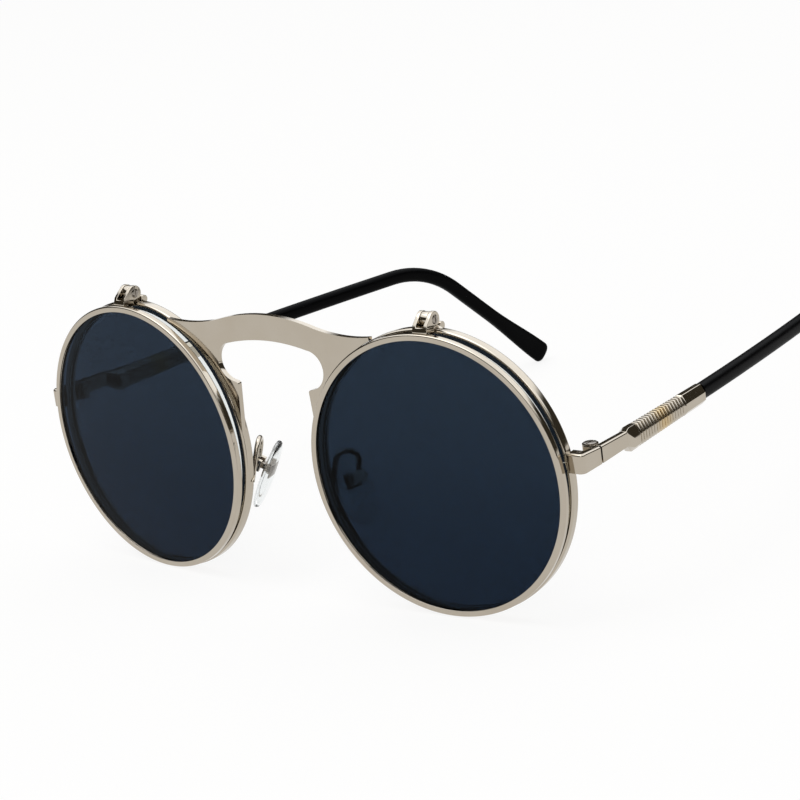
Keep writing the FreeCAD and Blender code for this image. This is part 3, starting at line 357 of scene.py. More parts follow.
def black_acetate(finishes):
    # Cellulose acetate, shrunk over the wire and tumbled: deep black with a satin skin that throws
    # back little light, and a fine uneven orange peel
    material, tree = new_material("black_cellulose_acetate")
    place = add_node(tree, "ShaderNodeTexCoord").outputs["Object"]
    peel = add_node(tree, "ShaderNodeTexNoise", None, {
        "Vector": place, "Scale": per_mm(0.5), "Detail": 3.0})
    bump = add_node(tree, "ShaderNodeBump", None, {
        "Strength": 0.25, "Distance": 0.02 * MM, "Height": peel.outputs["Fac"]})
    rub = add_node(tree, "ShaderNodeTexNoise", None, {
        "Vector": place, "Scale": per_mm(5), "Detail": 3.0})
    rough = add_node(tree, "ShaderNodeMapRange", None, {
        "Value": rub.outputs["Fac"], "From Min": 0.3, "From Max": 0.7, "To Min": 0.3, "To Max": 0.42})
    shader = add_node(tree, "ShaderNodeBsdfPrincipled", None, {
        "Base Color": rgba(finishes.acetate), "Roughness": rough.outputs["Result"], "IOR": 1.48,
        "Specular IOR Level": 0.03, "Normal": bump.outputs["Normal"]})
    add_node(tree, "ShaderNodeOutputMaterial", None, {"Surface": shader.outputs["BSDF"]})
    return material


def clear_silicone(finishes):
    # Moulded silicone rubber: water clear, with a soft skin that blurs what is behind it
    material, tree = new_material("clear_silicone_rubber")
    place = add_node(tree, "ShaderNodeTexCoord").outputs["Object"]
    skin = add_node(tree, "ShaderNodeTexNoise", None, {
        "Vector": place, "Scale": per_mm(0.7), "Detail": 2.0})
    rough = add_node(tree, "ShaderNodeMapRange", None, {
        "Value": skin.outputs["Fac"], "To Min": 0.02, "To Max": 0.12})
    shader = add_node(tree, "ShaderNodeBsdfPrincipled", None, {
        "Base Color": rgba(finishes.silicone), "Roughness": rough.outputs["Result"], "IOR": 1.41,
        "Transmission Weight": 1.0})
    add_node(tree, "ShaderNodeOutputMaterial", None, {"Surface": shader.outputs["BSDF"]})
    return material


FINISHES = {
    "polished_metal": polished_nickel_silver,
    "steel": turned_steel,
    "dark_lens": smoke_resin,
    "clear_lens": clear_resin,
    "black_sleeve": black_acetate,
    "clear_pad": clear_silicone,
}
MATERIALS = {}


def finish_of(node):
    """The material of a node's record slot, made when it is first asked for."""
    slot = SLOT_OF[node]
    if slot not in MATERIALS:
        MATERIALS[slot] = FINISHES[slot](bpy.context.scene.sunglasses_finishes)
    return MATERIALS[slot]


def new_tree(name, inputs):
    """Starts a Geometry Nodes tree with named inputs and returns it with their sockets."""
    tree = bpy.data.node_groups.new(name, "GeometryNodeTree")
    tree.interface.new_socket("Geometry", in_out="INPUT", socket_type="NodeSocketGeometry")
    for label, kind in inputs.items():
        tree.interface.new_socket(label, in_out="INPUT", socket_type=kind)
    tree.interface.new_socket("Geometry", in_out="OUTPUT", socket_type="NodeSocketGeometry")
    return tree, tree.nodes.new("NodeGroupInput").outputs


def end_tree(tree, geometry, material):
    """Realizes what a tree has made, gives it its material and sends it out."""
    real = add_node(tree, "GeometryNodeRealizeInstances", None, {"Geometry": geometry})
    dressed = add_node(tree, "GeometryNodeSetMaterial", None, {
        "Geometry": real.outputs["Geometry"], "Material": material})
    add_node(tree, "NodeGroupOutput", None, {"Geometry": dressed.outputs["Geometry"]})


def evaluated_mesh(obj):
    """A plain mesh of an object with its modifiers applied."""
    depsgraph = bpy.context.evaluated_depsgraph_get()
    return bpy.data.meshes.new_from_object(obj.evaluated_get(depsgraph), depsgraph=depsgraph)


def grow(tree, base, values):
    """Runs a tree on a base mesh and returns the result as a bmesh."""
    obj = bpy.data.objects.new(tree.name, base)
    bpy.context.scene.collection.objects.link(obj)
    modifier = obj.modifiers.new(tree.name, "NODES")
    modifier.node_group = tree
    for item in tree.interface.items_tree:
        if item.in_out == "INPUT" and item.name in values:
            modifier[item.identifier] = values[item.name]
    mesh = evaluated_mesh(obj)
    bpy.data.objects.remove(obj)
    bm = bmesh.new()
    bm.from_mesh(mesh)
    bpy.data.meshes.remove(mesh)
    bpy.data.meshes.remove(base)
    bmesh.ops.recalc_face_normals(bm, faces=bm.faces)
    return bm


def edge_loop(name, points):
    """A mesh of one closed loop of edges."""
    mesh = bpy.data.meshes.new(name)
    count = len(points)
    mesh.from_pydata(points, [(i, (i + 1) % count) for i in range(count)], [])
    return mesh


# Mesh helpers

def rounded(corners):
    """A closed outline from (x, y, radius) corners, with an arc at each corner that has a radius."""
    points = []
    count = len(corners)
    for index, (x, y, radius) in enumerate(corners):
        corner = Vector((x, y))
        if radius == 0:
            points.append(corner)
            continue
        before = (Vector(corners[index - 1][:2]) - corner).normalized()
        after = (Vector(corners[(index + 1) % count][:2]) - corner).normalized()
        half = before.angle(after) / 2
        centre = corner + (before + after).normalized() * (radius / math.sin(half))
        start = corner + before * (radius / math.tan(half)) - centre
        turn = start.angle_signed(corner + after * (radius / math.tan(half)) - centre)
        for step in range(CORNER_STEPS + 1):
            points.append(centre + Matrix.Rotation(-turn * step / CORNER_STEPS, 2) @ start)
    return points


def lathe(profile, segments):
    """Turns (radius, height) points about Z. A point at radius zero closes the pole."""
    bm = bmesh.new()
    rings = []
    for radius, height in profile:
        turns = [2 * math.pi * i / segments for i in range(segments)] if radius > 0 else [0.0]
        rings.append([bm.verts.new((radius * math.cos(t), radius * math.sin(t), height)) for t in turns])
    for low, high in zip(rings, rings[1:]):
        for i in range(segments):
            j = i + 1
            corners = [low[i % len(low)], low[j % len(low)], high[j % len(high)], high[i % len(high)]]
            bm.faces.new(list(dict.fromkeys(corners)))
    bmesh.ops.recalc_face_normals(bm, faces=bm.faces)
    return bm


def loft(sections):
    """Skins closed rings of points and closes both ends."""
    bm = bmesh.new()
    rings = [[bm.verts.new(point) for point in section] for section in sections]
    count = len(rings[0])
    for low, high in zip(rings, rings[1:]):
        for i in range(count):
            j = (i + 1) % count
            bm.faces.new((low[i], low[j], high[j], high[i]))
    bm.faces.new(rings[0][::-1])
    bm.faces.new(rings[-1])
    bmesh.ops.recalc_face_normals(bm, faces=bm.faces)
    return bm


def mirrored(bm):
    """The same piece on the other side of the nose."""
    other = bm.copy()
    other.transform(Matrix.Scale(-1, 4, (1, 0, 0)))
    bmesh.ops.reverse_faces(other, faces=other.faces)
    return other


def cad_copy(node):
    """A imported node's mesh in millimetres, merged, with its flat faces whole again."""
    bm = bmesh.new()
    bm.from_mesh(frame["nodes"][node].data)
    bm.transform(Matrix.Scale(1 / MM, 4))
    bmesh.ops.remove_doubles(bm, verts=bm.verts, dist=MERGE_DISTANCE)
    bmesh.ops.dissolve_limit(bm, angle_limit=FLAT_ANGLE, verts=bm.verts, edges=bm.edges)
    return bm


def outward_edges(bm):
    return [edge for edge in bm.edges if len(edge.link_faces) == 2 and edge.is_convex]


def round_edges(bm, edges, radius, steps, clamp):
    bmesh.ops.bevel(bm, geom=edges, offset=radius, offset_type="OFFSET", segments=steps, profile=0.5,
                    affect="EDGES", clamp_overlap=clamp)


def soften(bm, radius, least_angle=ROUNDED_FROM, steps=ROUND_STEPS):
    """Rounds the outward edges, as polishing does."""
    sharp = [edge for edge in outward_edges(bm) if edge.calc_face_angle() > math.radians(least_angle)]
    round_edges(bm, sharp, radius, steps, True)
    return bm


def dress(node, bm, sharp_angle=SHARP_FROM):
    """Makes a piece of a bmesh in millimetres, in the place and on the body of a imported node."""
    name = f"{node}_finished"
    mesh = bpy.data.meshes.new(name)
    bm.to_mesh(mesh)
    bm.free()
    mesh.transform(Matrix.Scale(MM, 4))
    mesh.materials.clear()
    mesh.materials.append(finish_of(node))
    mesh.shade_smooth()
    mesh.set_sharp_from_angle(angle=math.radians(sharp_angle))
    piece = bpy.data.objects.new(name, mesh)
    bpy.context.scene.collection.objects.link(piece)
    # Large flat faces keep their own direction, so that they mirror as flat ones do
    weighted = piece.modifiers.new("Weighted", "WEIGHTED_NORMAL")
    weighted.keep_sharp = True
    piece.data = evaluated_mesh(piece)
    piece.modifiers.clear()
    bpy.data.meshes.remove(mesh)
    piece.data.name = name
    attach(piece, BODY_OF[node])
    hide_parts(node)


def dress_pair(label, bm, **options):
    """Dresses a left piece and its mirror image."""
    dress(f"{label}_right", mirrored(bm), **options)
    dress(f"{label}_left", bm, **options)


def dress_cad(label, radius):
    """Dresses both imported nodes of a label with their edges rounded."""
    for side in SIDES:
        dress(f"{label}_{side}", soften(cad_copy(f"{label}_{side}"), radius))


def dress_bar(label, s, front_reach):
    """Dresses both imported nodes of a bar, with a wide round along its top, outside and in front."""
    for side, sign in zip(SIDES, (1, -1)):
        bm = cad_copy(f"{label}_{side}")
        bm.normal_update()
        outer = max(vert.co.x * sign for vert in bm.verts) - OUTER_REACH
        front = min(vert.co.y for vert in bm.verts) + front_reach
        top = []
        for edge in outward_edges(bm):
            normals = [face.normal for face in edge.link_faces]
            if (max(normal.z for normal in normals) > TOP_FACE
                    and max(max(normal.x * sign, -normal.y) for normal in normals) > OUTER_FACE
                    and all(vert.co.x * sign > outer or vert.co.y < front for vert in edge.verts)):
                top.append(edge)
        # Unclamped, because the bend's short edges would hold the whole round back
        round_edges(bm, top, s.bar_round, BAR_ROUND_STEPS, False)
        dress(f"{label}_{side}", soften(bm, s.edge_round))


# Frames of the left side, in millimetres

def joint_place(name):
    """A point on a joint's axis."""
    return Vector(JOINTS[name]["pos_m"]) / MM


def lens_turn(node, lean=0.0):
    """The frame of a rim: its middle, with X across, Y up and Z to the front."""
    low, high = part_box(node)
    axis = JOINTS["flip_left_hinge"]["axis"]
    wrap = math.atan2(-axis[1], -axis[0])
    return (Matrix.Translation((low + high) / 2 / MM) @ Matrix.Rotation(wrap, 4, "Z")
            @ Matrix.Rotation(lean + math.pi / 2, 4, "X"))


def temple_turn(s, angles):
    """The frame of a temple bar: Y along it, X = 0 on its outer face, Z = 0 at its middle."""
    place = joint_place("temple_left_hinge") + Vector((s.hinge_inset, -s.hinge_setback, 0))
    return Matrix.Translation(place) @ Matrix.Rotation(angles.temple_toe, 4, "Z")


def pad_turn(angles):
    """The frame of a nose pad: its screw along Y, and X away from the nose."""
    return (Matrix.Translation(joint_place("pad_left_rock")) @ Matrix.Rotation(-angles.pad_splay, 4, "Z")
            @ Matrix.Rotation(-angles.pad_tilt, 4, "Y"))


# Rims and lenses

def rim_tree():
    """Sweeps the drawn section round a circle, open at a slit where there is one."""
    tree, given = new_tree("turned_rim", {
        "Radius": "NodeSocketFloat", "Segments": "NodeSocketInt", "Slit": "NodeSocketFloat",
        "Material": "NodeSocketMaterial"})
    section = add_node(tree, "GeometryNodeMeshToCurve", None, {"Mesh": given["Geometry"]})
    circle = add_node(tree, "GeometryNodeCurvePrimitiveCircle", None, {
        "Resolution": given["Segments"], "Radius": given["Radius"]})
    whole = add_node(tree, "GeometryNodeCurveLength", None, {"Curve": circle.outputs["Curve"]})
    half = add_node(tree, "ShaderNodeMath", {"operation": "MULTIPLY"}, {0: given["Slit"], 1: 0.5})
    stop = add_node(tree, "ShaderNodeMath", {"operation": "SUBTRACT"}, {
        0: whole.outputs["Length"], 1: half.outputs[0]})
    # Sockets 4 and 5 are the start and end as lengths
    opened = add_node(tree, "GeometryNodeTrimCurve", {"mode": "LENGTH"}, {
        "Curve": circle.outputs["Curve"], 4: half.outputs[0], 5: stop.outputs[0]})
    slit = add_node(tree, "FunctionNodeCompare", {"operation": "GREATER_THAN"}, {
        0: given["Slit"], 1: 0.0})
    line = add_node(tree, "GeometryNodeSwitch", {"input_type": "GEOMETRY"}, {
        "Switch": slit.outputs["Result"], "False": circle.outputs["Curve"],
        "True": opened.outputs["Curve"]})
    swept = add_node(tree, "GeometryNodeCurveToMesh", None, {
        "Curve": line.outputs["Output"], "Profile Curve": section.outputs["Curve"], "Fill Caps": True})
    end_tree(tree, swept.outputs["Mesh"], given["Material"])
    return tree


def rim_radius(node, depth, lean):
    """The outer radius of a leaning rim, from the height of its box."""
    low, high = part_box(node)
    return ((high.z - low.z) / MM - depth * math.sin(lean)) / 2 / math.cos(lean)


def rim_section(wall, depth, outer_round, inner_round, groove, groove_width):
    """A rim's section, drawn out from its outer radius: rounded outside, with the lens groove."""
    half = depth / 2
    return rounded([
        (-wall, -half, inner_round), (0, -half, outer_round), (0, half, outer_round),
        (-wall, half, inner_round), (-wall, groove_width / 2, 0), (groove - wall, 0, 0),
        (-wall, -groove_width / 2, 0),
    ])


def lens_profile(edge, tip, half, sag):
    """A domed lens of even thickness, from the middle of its front to the middle of its back."""
    radius = (edge ** 2 + sag ** 2) / (2 * sag)
    dome = []
    for step in range(LENS_RINGS + 1):
        reach = edge * step / LENS_RINGS
        dome.append((reach, sag - radius + math.sqrt(radius ** 2 - reach ** 2)))
    front = [(reach, half + rise) for reach, rise in dome]
    back = [(reach, rise - half) for reach, rise in reversed(dome)]
    return front + [(tip, 0.0)] + back


class SUNGLASSES_OT_rims(bpy.types.Operator):
    """Turn the frame rims, slit at their locks, and the flip rims"""
    bl_idname = "sunglasses.rims"
    bl_label = "Rims"

    def execute(self, context):
        s = sizes_mm()
        lean = context.scene.sunglasses_angles.flip_lean
        tree = rim_tree()
        rims = (
            ("rim", 0.0, s.rim_slit,
             (s.rim_wall, s.rim_depth, s.rim_round, s.inner_round, s.rim_groove,
              s.rim_groove_width)),
            ("flip_rim", lean, 0.0,
             (s.flip_wall, s.flip_depth, s.flip_round, s.inner_round, s.flip_groove,
              s.flip_groove_width)),
        )
        for label, turn, slit, section in rims:
            outer = rim_radius(f"{label}_left", section[1], turn)
            points = [(x, y, 0) for x, y in rim_section(*section)]
            bm = grow(tree, edge_loop(label, points), {
                "Radius": outer, "Segments": RING_SEGMENTS, "Slit": slit,
                "Material": finish_of(f"{label}_left")})
            # The slit opens at the height of the temple hinge
            rise = joint_place("temple_left_hinge").z - lens_turn("rim_left").translation.z
            opening = Matrix.Rotation(math.asin(rise / outer), 4, "Z")
            bm.transform(lens_turn(f"{label}_left", turn) @ opening)
            dress_pair(label, bm)
        return {"FINISHED"}


class SUNGLASSES_OT_lenses(bpy.types.Operator):
    """Turn the clear lenses and the dark ones"""
    bl_idname = "sunglasses.lenses"
    bl_label = "Lenses"

    def execute(self, context):
        s = sizes_mm()
        lean = context.scene.sunglasses_angles.flip_lean
        lenses = (
            ("clear_lens", "rim", 0.0, s.rim_wall, s.rim_depth, s.rim_groove, s.rim_groove_width),
            ("flip_lens", "flip_rim", lean, s.flip_wall, s.flip_depth, s.flip_groove,
             s.flip_groove_width),
        )
        for label, rim, turn, wall, depth, groove, groove_width in lenses:
            inner = rim_radius(f"{rim}_left", depth, turn) - wall
            profile = lens_profile(inner - s.lens_clearance, inner + groove - 2 * s.lens_clearance,
                                   groove_width / 2 - s.lens_clearance, s.lens_sag)
            bm = lathe(profile, RING_SEGMENTS)
            bm.transform(lens_turn(f"{rim}_left", turn))
            dress_pair(label, bm)
        return {"FINISHED"}


# Stamped and milled metal

class SUNGLASSES_OT_bridge(bpy.types.Operator):
    """Polish the bridge plate"""
    bl_idname = "sunglasses.bridge"
    bl_label = "Bridge plate"

    def execute(self, context):
        dress("bridge_plate", soften(cad_copy("bridge_plate"), sizes_mm().edge_round))
        return {"FINISHED"}


class SUNGLASSES_OT_flip_hinges(bpy.types.Operator):
    """Polish the flip clevises and the knuckles that they turn on"""
    bl_idname = "sunglasses.flip_hinges"
    bl_label = "Flip hinges"

    def execute(self, context):
        for label in ("flip_clevis", "flip_hinge_base"):
            dress_cad(label, sizes_mm().edge_round)
        return {"FINISHED"}


class SUNGLASSES_OT_endpieces(bpy.types.Operator):
    """Polish the end pieces and the rim locks behind them"""
    bl_idname = "sunglasses.endpieces"
    bl_label = "End pieces"

    def execute(self, context):
        s = sizes_mm()
        dress_bar("endpiece", s, FRONT_REACH)
        for label in ("rim_lock_lower", "rim_lock_upper"):
            dress_cad(label, s.edge_round)
        return {"FINISHED"}


# Screws

# Share of the head's side that the shank reaches into, and the slot cutter's length in head radii
SHANK_ROOT_SHARE = 0.25
CUTTER_REACH = 2.5


def screw_tree():
    """A crowned head with a slot across it, on a plain shank that runs down from it."""
    names = (
        "Head Radius", "Head Height", "Crown", "Shank Radius", "Shank Length", "Slot Width",
        "Slot Depth")
    inputs = {name: "NodeSocketFloat" for name in names}
    tree, given = new_tree("slotted_screw", {**inputs, "Material": "NodeSocketMaterial"})
    side = add_node(tree, "ShaderNodeMath", {"operation": "SUBTRACT"}, {
        0: given["Head Height"], 1: given["Crown"]})
    head = add_node(tree, "GeometryNodeMeshCylinder", {"fill_type": "NGON"}, {
        "Vertices": SCREW_POINTS, "Side Segments": 1, "Fill Segments": HEAD_RINGS,
        "Radius": given["Head Radius"], "Depth": side.outputs[0]})
    lift = add_node(tree, "ShaderNodeMath", {"operation": "MULTIPLY"}, {0: side.outputs[0], 1: 0.5})
    up = add_node(tree, "ShaderNodeCombineXYZ", None, {"Z": lift.outputs[0]})
    seated = add_node(tree, "GeometryNodeTransform", None, {
        "Geometry": head.outputs["Mesh"], "Translation": up.outputs["Vector"]})
    # The crown rises from the head's edge to its middle
    place = add_node(tree, "GeometryNodeInputPosition").outputs["Position"]
    split = add_node(tree, "ShaderNodeSeparateXYZ", None, {"Vector": place})
    top = add_node(tree, "FunctionNodeCompare", {"operation": "GREATER_THAN"}, {
        0: split.outputs["Z"], 1: lift.outputs[0]})
    flat = add_node(tree, "ShaderNodeCombineXYZ", None, {
        "X": split.outputs["X"], "Y": split.outputs["Y"]})
    reach = add_node(tree, "ShaderNodeVectorMath", {"operation": "LENGTH"}, {0: flat.outputs["Vector"]})
    share = add_node(tree, "ShaderNodeMath", {"operation": "DIVIDE"}, {
        0: reach.outputs["Value"], 1: given["Head Radius"]})
    square = add_node(tree, "ShaderNodeMath", {"operation": "POWER"}, {0: share.outputs[0], 1: 2.0})
    fall = add_node(tree, "ShaderNodeMath", {"operation": "SUBTRACT"}, {0: 1.0, 1: square.outputs[0]})
    rise = add_node(tree, "ShaderNodeMath", {"operation": "MULTIPLY"}, {
        0: fall.outputs[0], 1: given["Crown"]})
    offset = add_node(tree, "ShaderNodeCombineXYZ", None, {"Z": rise.outputs[0]})
    crowned = add_node(tree, "GeometryNodeSetPosition", None, {
        "Geometry": seated.outputs["Geometry"], "Selection": top.outputs["Result"],
        "Offset": offset.outputs["Vector"]})
    # The shank starts inside the head, so that the two join
    root = add_node(tree, "ShaderNodeMath", {"operation": "MULTIPLY"}, {
        0: side.outputs[0], 1: SHANK_ROOT_SHARE})
    long = add_node(tree, "ShaderNodeMath", {"operation": "ADD"}, {
        0: given["Shank Length"], 1: root.outputs[0]})
    shank = add_node(tree, "GeometryNodeMeshCylinder", {"fill_type": "NGON"}, {
        "Vertices": SCREW_POINTS, "Radius": given["Shank Radius"], "Depth": long.outputs[0]})
    half = add_node(tree, "ShaderNodeMath", {"operation": "MULTIPLY"}, {0: long.outputs[0], 1: -0.5})
    sunk = add_node(tree, "ShaderNodeMath", {"operation": "ADD"}, {
        0: half.outputs[0], 1: root.outputs[0]})
    down = add_node(tree, "ShaderNodeCombineXYZ", None, {"Z": sunk.outputs[0]})
    stem = add_node(tree, "GeometryNodeTransform", None, {
        "Geometry": shank.outputs["Mesh"], "Translation": down.outputs["Vector"]})
    joined = add_node(tree, "GeometryNodeMeshBoolean", {"operation": "UNION"}, {
        "Mesh 2": crowned.outputs["Geometry"]})
    tree.links.new(stem.outputs["Geometry"], joined.inputs["Mesh 2"])
    # The cutter is as tall as twice the slot's depth, with its middle at the head's top
    across = add_node(tree, "ShaderNodeMath", {"operation": "MULTIPLY"}, {
        0: given["Head Radius"], 1: CUTTER_REACH})
    tall = add_node(tree, "ShaderNodeMath", {"operation": "MULTIPLY"}, {0: given["Slot Depth"], 1: 2.0})
    blade_size = add_node(tree, "ShaderNodeCombineXYZ", None, {
        "X": given["Slot Width"], "Y": across.outputs[0], "Z": tall.outputs[0]})
    blade = add_node(tree, "GeometryNodeMeshCube", None, {"Size": blade_size.outputs["Vector"]})
    above = add_node(tree, "ShaderNodeCombineXYZ", None, {"Z": given["Head Height"]})
    cutter = add_node(tree, "GeometryNodeTransform", None, {
        "Geometry": blade.outputs["Mesh"], "Translation": above.outputs["Vector"]})
    slotted = add_node(tree, "GeometryNodeMeshBoolean", {"operation": "DIFFERENCE"}, {
        "Mesh 1": joined.outputs["Mesh"], "Mesh 2": cutter.outputs["Geometry"]})
    end_tree(tree, slotted.outputs["Mesh"], given["Material"])
    return tree


# Head radius, head height, crown, shank radius, slot width and slot depth, in millimetres
SCREWS = {
    "temple_hinge_screw": (1.15, 0.25, 0.07, 0.6, 0.28, 0.15),
    "rim_lock_screw": (0.75, 0.35, 0.1, 0.45, 0.2, 0.15),
    "flip_hinge_screw": (0.85, 0.15, 0.14, 0.5, 0.3, 0.13),
    "pad_screw": (0.5, 0.2, 0.06, 0.3, 0.16, 0.1),
}
# Rounding of a screw's edges, in millimetres
SCREW_EDGE = 0.03


def screw_seat(label, side, s):
    """Where a screw's head sits, which way it points, and how long its shank is."""
    low, high = (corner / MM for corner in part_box(f"{label}_{side}"))
    middle = (low + high) / 2
    height = SCREWS[label][1]
    if label == "temple_hinge_screw":
        return Vector((middle.x, middle.y, high.z - height)), Vector((0, 0, 1)), high.z - low.z - height
    if label == "rim_lock_screw":
        return Vector((middle.x, middle.y, low.z + height)), Vector((0, 0, -1)), high.z - low.z - height
    if label == "flip_hinge_screw":
        # Both heads are on the wearer's left
        way = -Vector(JOINTS[f"flip_{side}_hinge"]["axis"])
        return joint_place(f"flip_{side}_hinge") + way * s.flip_ear_reach, way, s.flip_ear_reach * 2
    way = Vector(JOINTS[f"pad_{side}_rock"]["axis"])
    way = way if way.y < 0 else -way
    return joint_place(f"pad_{side}_rock") + way * s.pad_box_width / 2, way, s.pad_box_width


class SUNGLASSES_OT_screws(bpy.types.Operator):
    """Turn and slot every screw"""
    bl_idname = "sunglasses.screws"
    bl_label = "Screws"

    def execute(self, context):
        s = sizes_mm()
        tree = screw_tree()
        for label, (radius, height, crown, shank, width, depth) in SCREWS.items():
            for side in SIDES:
                seat, way, long = screw_seat(label, side, s)
                bm = grow(tree, bpy.data.meshes.new(label), {
                    "Head Radius": radius, "Head Height": height, "Crown": crown, "Shank Radius": shank,
                    "Shank Length": long, "Slot Width": width, "Slot Depth": depth,
                    "Material": finish_of(f"{label}_{side}")})
                bmesh.ops.dissolve_limit(bm, angle_limit=FLAT_ANGLE, verts=bm.verts, edges=bm.edges)
                soften(bm, SCREW_EDGE, SCREW_ROUNDED_FROM, SCREW_ROUND_STEPS)
                turn = way.to_track_quat("Z", "Y").to_matrix().to_4x4()
                bm.transform(Matrix.Translation(seat) @ turn)
                dress(f"{label}_{side}", bm)
        return {"FINISHED"}


# Temples

# Shares of the ribbed bar's length where its taper ends and its ribs begin and end, of its width
# in a chamfer, and of its width and height in the roof facet at its upper outside
TAPER_SHARE = 0.08
RIB_START_SHARE = 0.17
RIB_END_SHARE = 0.737
CHAMFER_SHARE = 0.29
ROOF_SHARE = 0.32
ROOF_DROP_SHARE = 0.4
# A rib's half width as a share of the ribs' pitch, and the rounding of its loop's corners in
# millimetres: a large one at the foot of the roof, small ones elsewhere
RIB_WIDTH_SHARE = 0.38
RIB_CORNER = 0.3
RIB_ROOF_CORNER = 0.8


def octagon(half_width, half_height, chamfer, roof):
    """Corners of an eight-sided section as (x, z), from the foot of its roof facet round."""
    corners = []
    for side_x, side_z in ((1, 1), (-1, 1), (-1, -1), (1, -1)):
        across, down = roof if side_x > 0 and side_z > 0 else (chamfer, chamfer)
        ends = [(half_width - across, half_height), (half_width, half_height - down)]
        if side_x * side_z > 0:
            ends.reverse()
        corners += [(side_x * a, side_z * b) for a, b in ends]
    return corners


def ribbed_at(s, share):
    """Half width, half height and drop of the eight-sided bar at a share of its length."""
    wide = s.ribbed_front_width + (s.ribbed_width - s.ribbed_front_width) * share
    tall = s.ribbed_front_height + (s.ribbed_height - s.ribbed_front_height) * share
    drop = s.ribbed_front_drop + (s.ribbed_drop - s.ribbed_front_drop) * share
    return wide / 2, tall / 2, drop


def ribbed_octagon(half_width, half_height):
    """The eight-sided section with its chamfers and roof in proportion to its size."""
    roof = (half_width * 2 * ROOF_SHARE, half_height * 2 * ROOF_DROP_SHARE)
    return octagon(half_width, half_height, half_width * 2 * CHAMFER_SHARE, roof)


def ribbed_slice(s, share, sunk=0.0):
    """One section of the eight-sided bar in the temple's frame, sunk below its full size."""
    wide, tall, drop = ribbed_at(s, share)
    y = s.bar_length + s.ribbed_length * share
    return [(x - wide, y, z - drop) for x, z in ribbed_octagon(wide - sunk, tall - sunk)]


def ribbed_core(s):
    """The eight-sided bar without its ribs: nose, sunk run, ferrule with a round end."""
    nose = s.plate_thickness / 2
    roof = (s.nose_chamfer, s.nose_chamfer)
    first = [(x - nose, s.bar_length, z)
             for x, z in octagon(nose, s.bar_end_height / 2, s.nose_chamfer, roof)]
    step = s.rib_height / s.ribbed_length
    sections = [
        first, ribbed_slice(s, TAPER_SHARE), ribbed_slice(s, RIB_START_SHARE - step),
        ribbed_slice(s, RIB_START_SHARE, s.rib_height), ribbed_slice(s, RIB_END_SHARE, s.rib_height),
        ribbed_slice(s, RIB_END_SHARE + step),
    ]
    for count in range(CORNER_STEPS + 1):
        turn = math.pi / 2 * count / CORNER_STEPS
        back = s.ferrule_round * (1 - math.sin(turn))
        sunk = s.ferrule_round * (1 - math.cos(turn))
        sections.append(ribbed_slice(s, 1 - back / s.ribbed_length, sunk))
    return loft(sections)


def rib_tree():
    """A row of rounded ribs, each the drawn loop with a round section, shrinking along the row."""
    tree, given = new_tree("rib_row", {
        "Count": "NodeSocketInt", "First": "NodeSocketVector", "Last": "NodeSocketVector",
        "Last Scale": "NodeSocketVector", "Half Width": "NodeSocketFloat",
        "Half Height": "NodeSocketFloat", "Material": "NodeSocketMaterial"})
    loop = add_node(tree, "GeometryNodeMeshToCurve", None, {"Mesh": given["Geometry"]})
    circle = add_node(tree, "GeometryNodeCurvePrimitiveCircle", None, {
        "Resolution": RIB_POINTS, "Radius": 1.0})
    # The section's X lies along the row and its Y square to the loop
    spread = add_node(tree, "ShaderNodeCombineXYZ", None, {
        "X": given["Half Width"], "Y": given["Half Height"], "Z": 1.0})
    section = add_node(tree, "GeometryNodeTransform", None, {
        "Geometry": circle.outputs["Curve"], "Scale": spread.outputs["Vector"]})
    rib = add_node(tree, "GeometryNodeCurveToMesh", None, {
        "Curve": loop.outputs["Curve"], "Profile Curve": section.outputs["Geometry"]})
    row = add_node(tree, "GeometryNodeMeshLine", {"mode": "END_POINTS"}, {
        "Count": given["Count"], "Start Location": given["First"], "Offset": given["Last"]})
    index = add_node(tree, "GeometryNodeInputIndex")
    steps = add_node(tree, "ShaderNodeMath", {"operation": "SUBTRACT"}, {0: given["Count"], 1: 1.0})
    along = add_node(tree, "ShaderNodeMath", {"operation": "DIVIDE"}, {
        0: index.outputs["Index"], 1: steps.outputs[0]})
    # Sockets 4 and 5 are the two vectors that the node mixes
    scale = add_node(tree, "ShaderNodeMix", {"data_type": "VECTOR"}, {
        0: along.outputs[0], 4: (1.0, 1.0, 1.0), 5: given["Last Scale"]})
    ribs = add_node(tree, "GeometryNodeInstanceOnPoints", None, {
        "Points": row.outputs["Mesh"], "Instance": rib.outputs["Mesh"], "Scale": scale.outputs[1]})
    end_tree(tree, ribs.outputs["Instances"], given["Material"])
    return tree


def rib_row(s, count):
    """The ribs of the left temple, in the temple's frame."""
    pitch = (RIB_END_SHARE - RIB_START_SHARE) / count
    shares = (RIB_START_SHARE + pitch / 2, RIB_END_SHARE - pitch / 2)
    (wide, tall, drop), (wide_end, tall_end, drop_end) = (ribbed_at(s, share) for share in shares)
    y, y_end = (s.bar_length + s.ribbed_length * share for share in shares)
    corners = [(x, z, RIB_CORNER) for x, z in ribbed_octagon(wide - s.rib_height, tall - s.rib_height)]
    corners[0] = (*corners[0][:2], RIB_ROOF_CORNER)
    return grow(rib_tree(), edge_loop("rib", [(x, 0, z) for x, z in rounded(corners)]), {
        "Count": count, "First": (-wide, y, -drop), "Last": (-wide_end, y_end, -drop_end),
        "Last Scale": (wide_end / wide, 1.0, tall_end / tall),
        "Half Width": pitch * s.ribbed_length * RIB_WIDTH_SHARE, "Half Height": s.rib_height,
        "Material": finish_of("temple_ribbed_bar_left")})


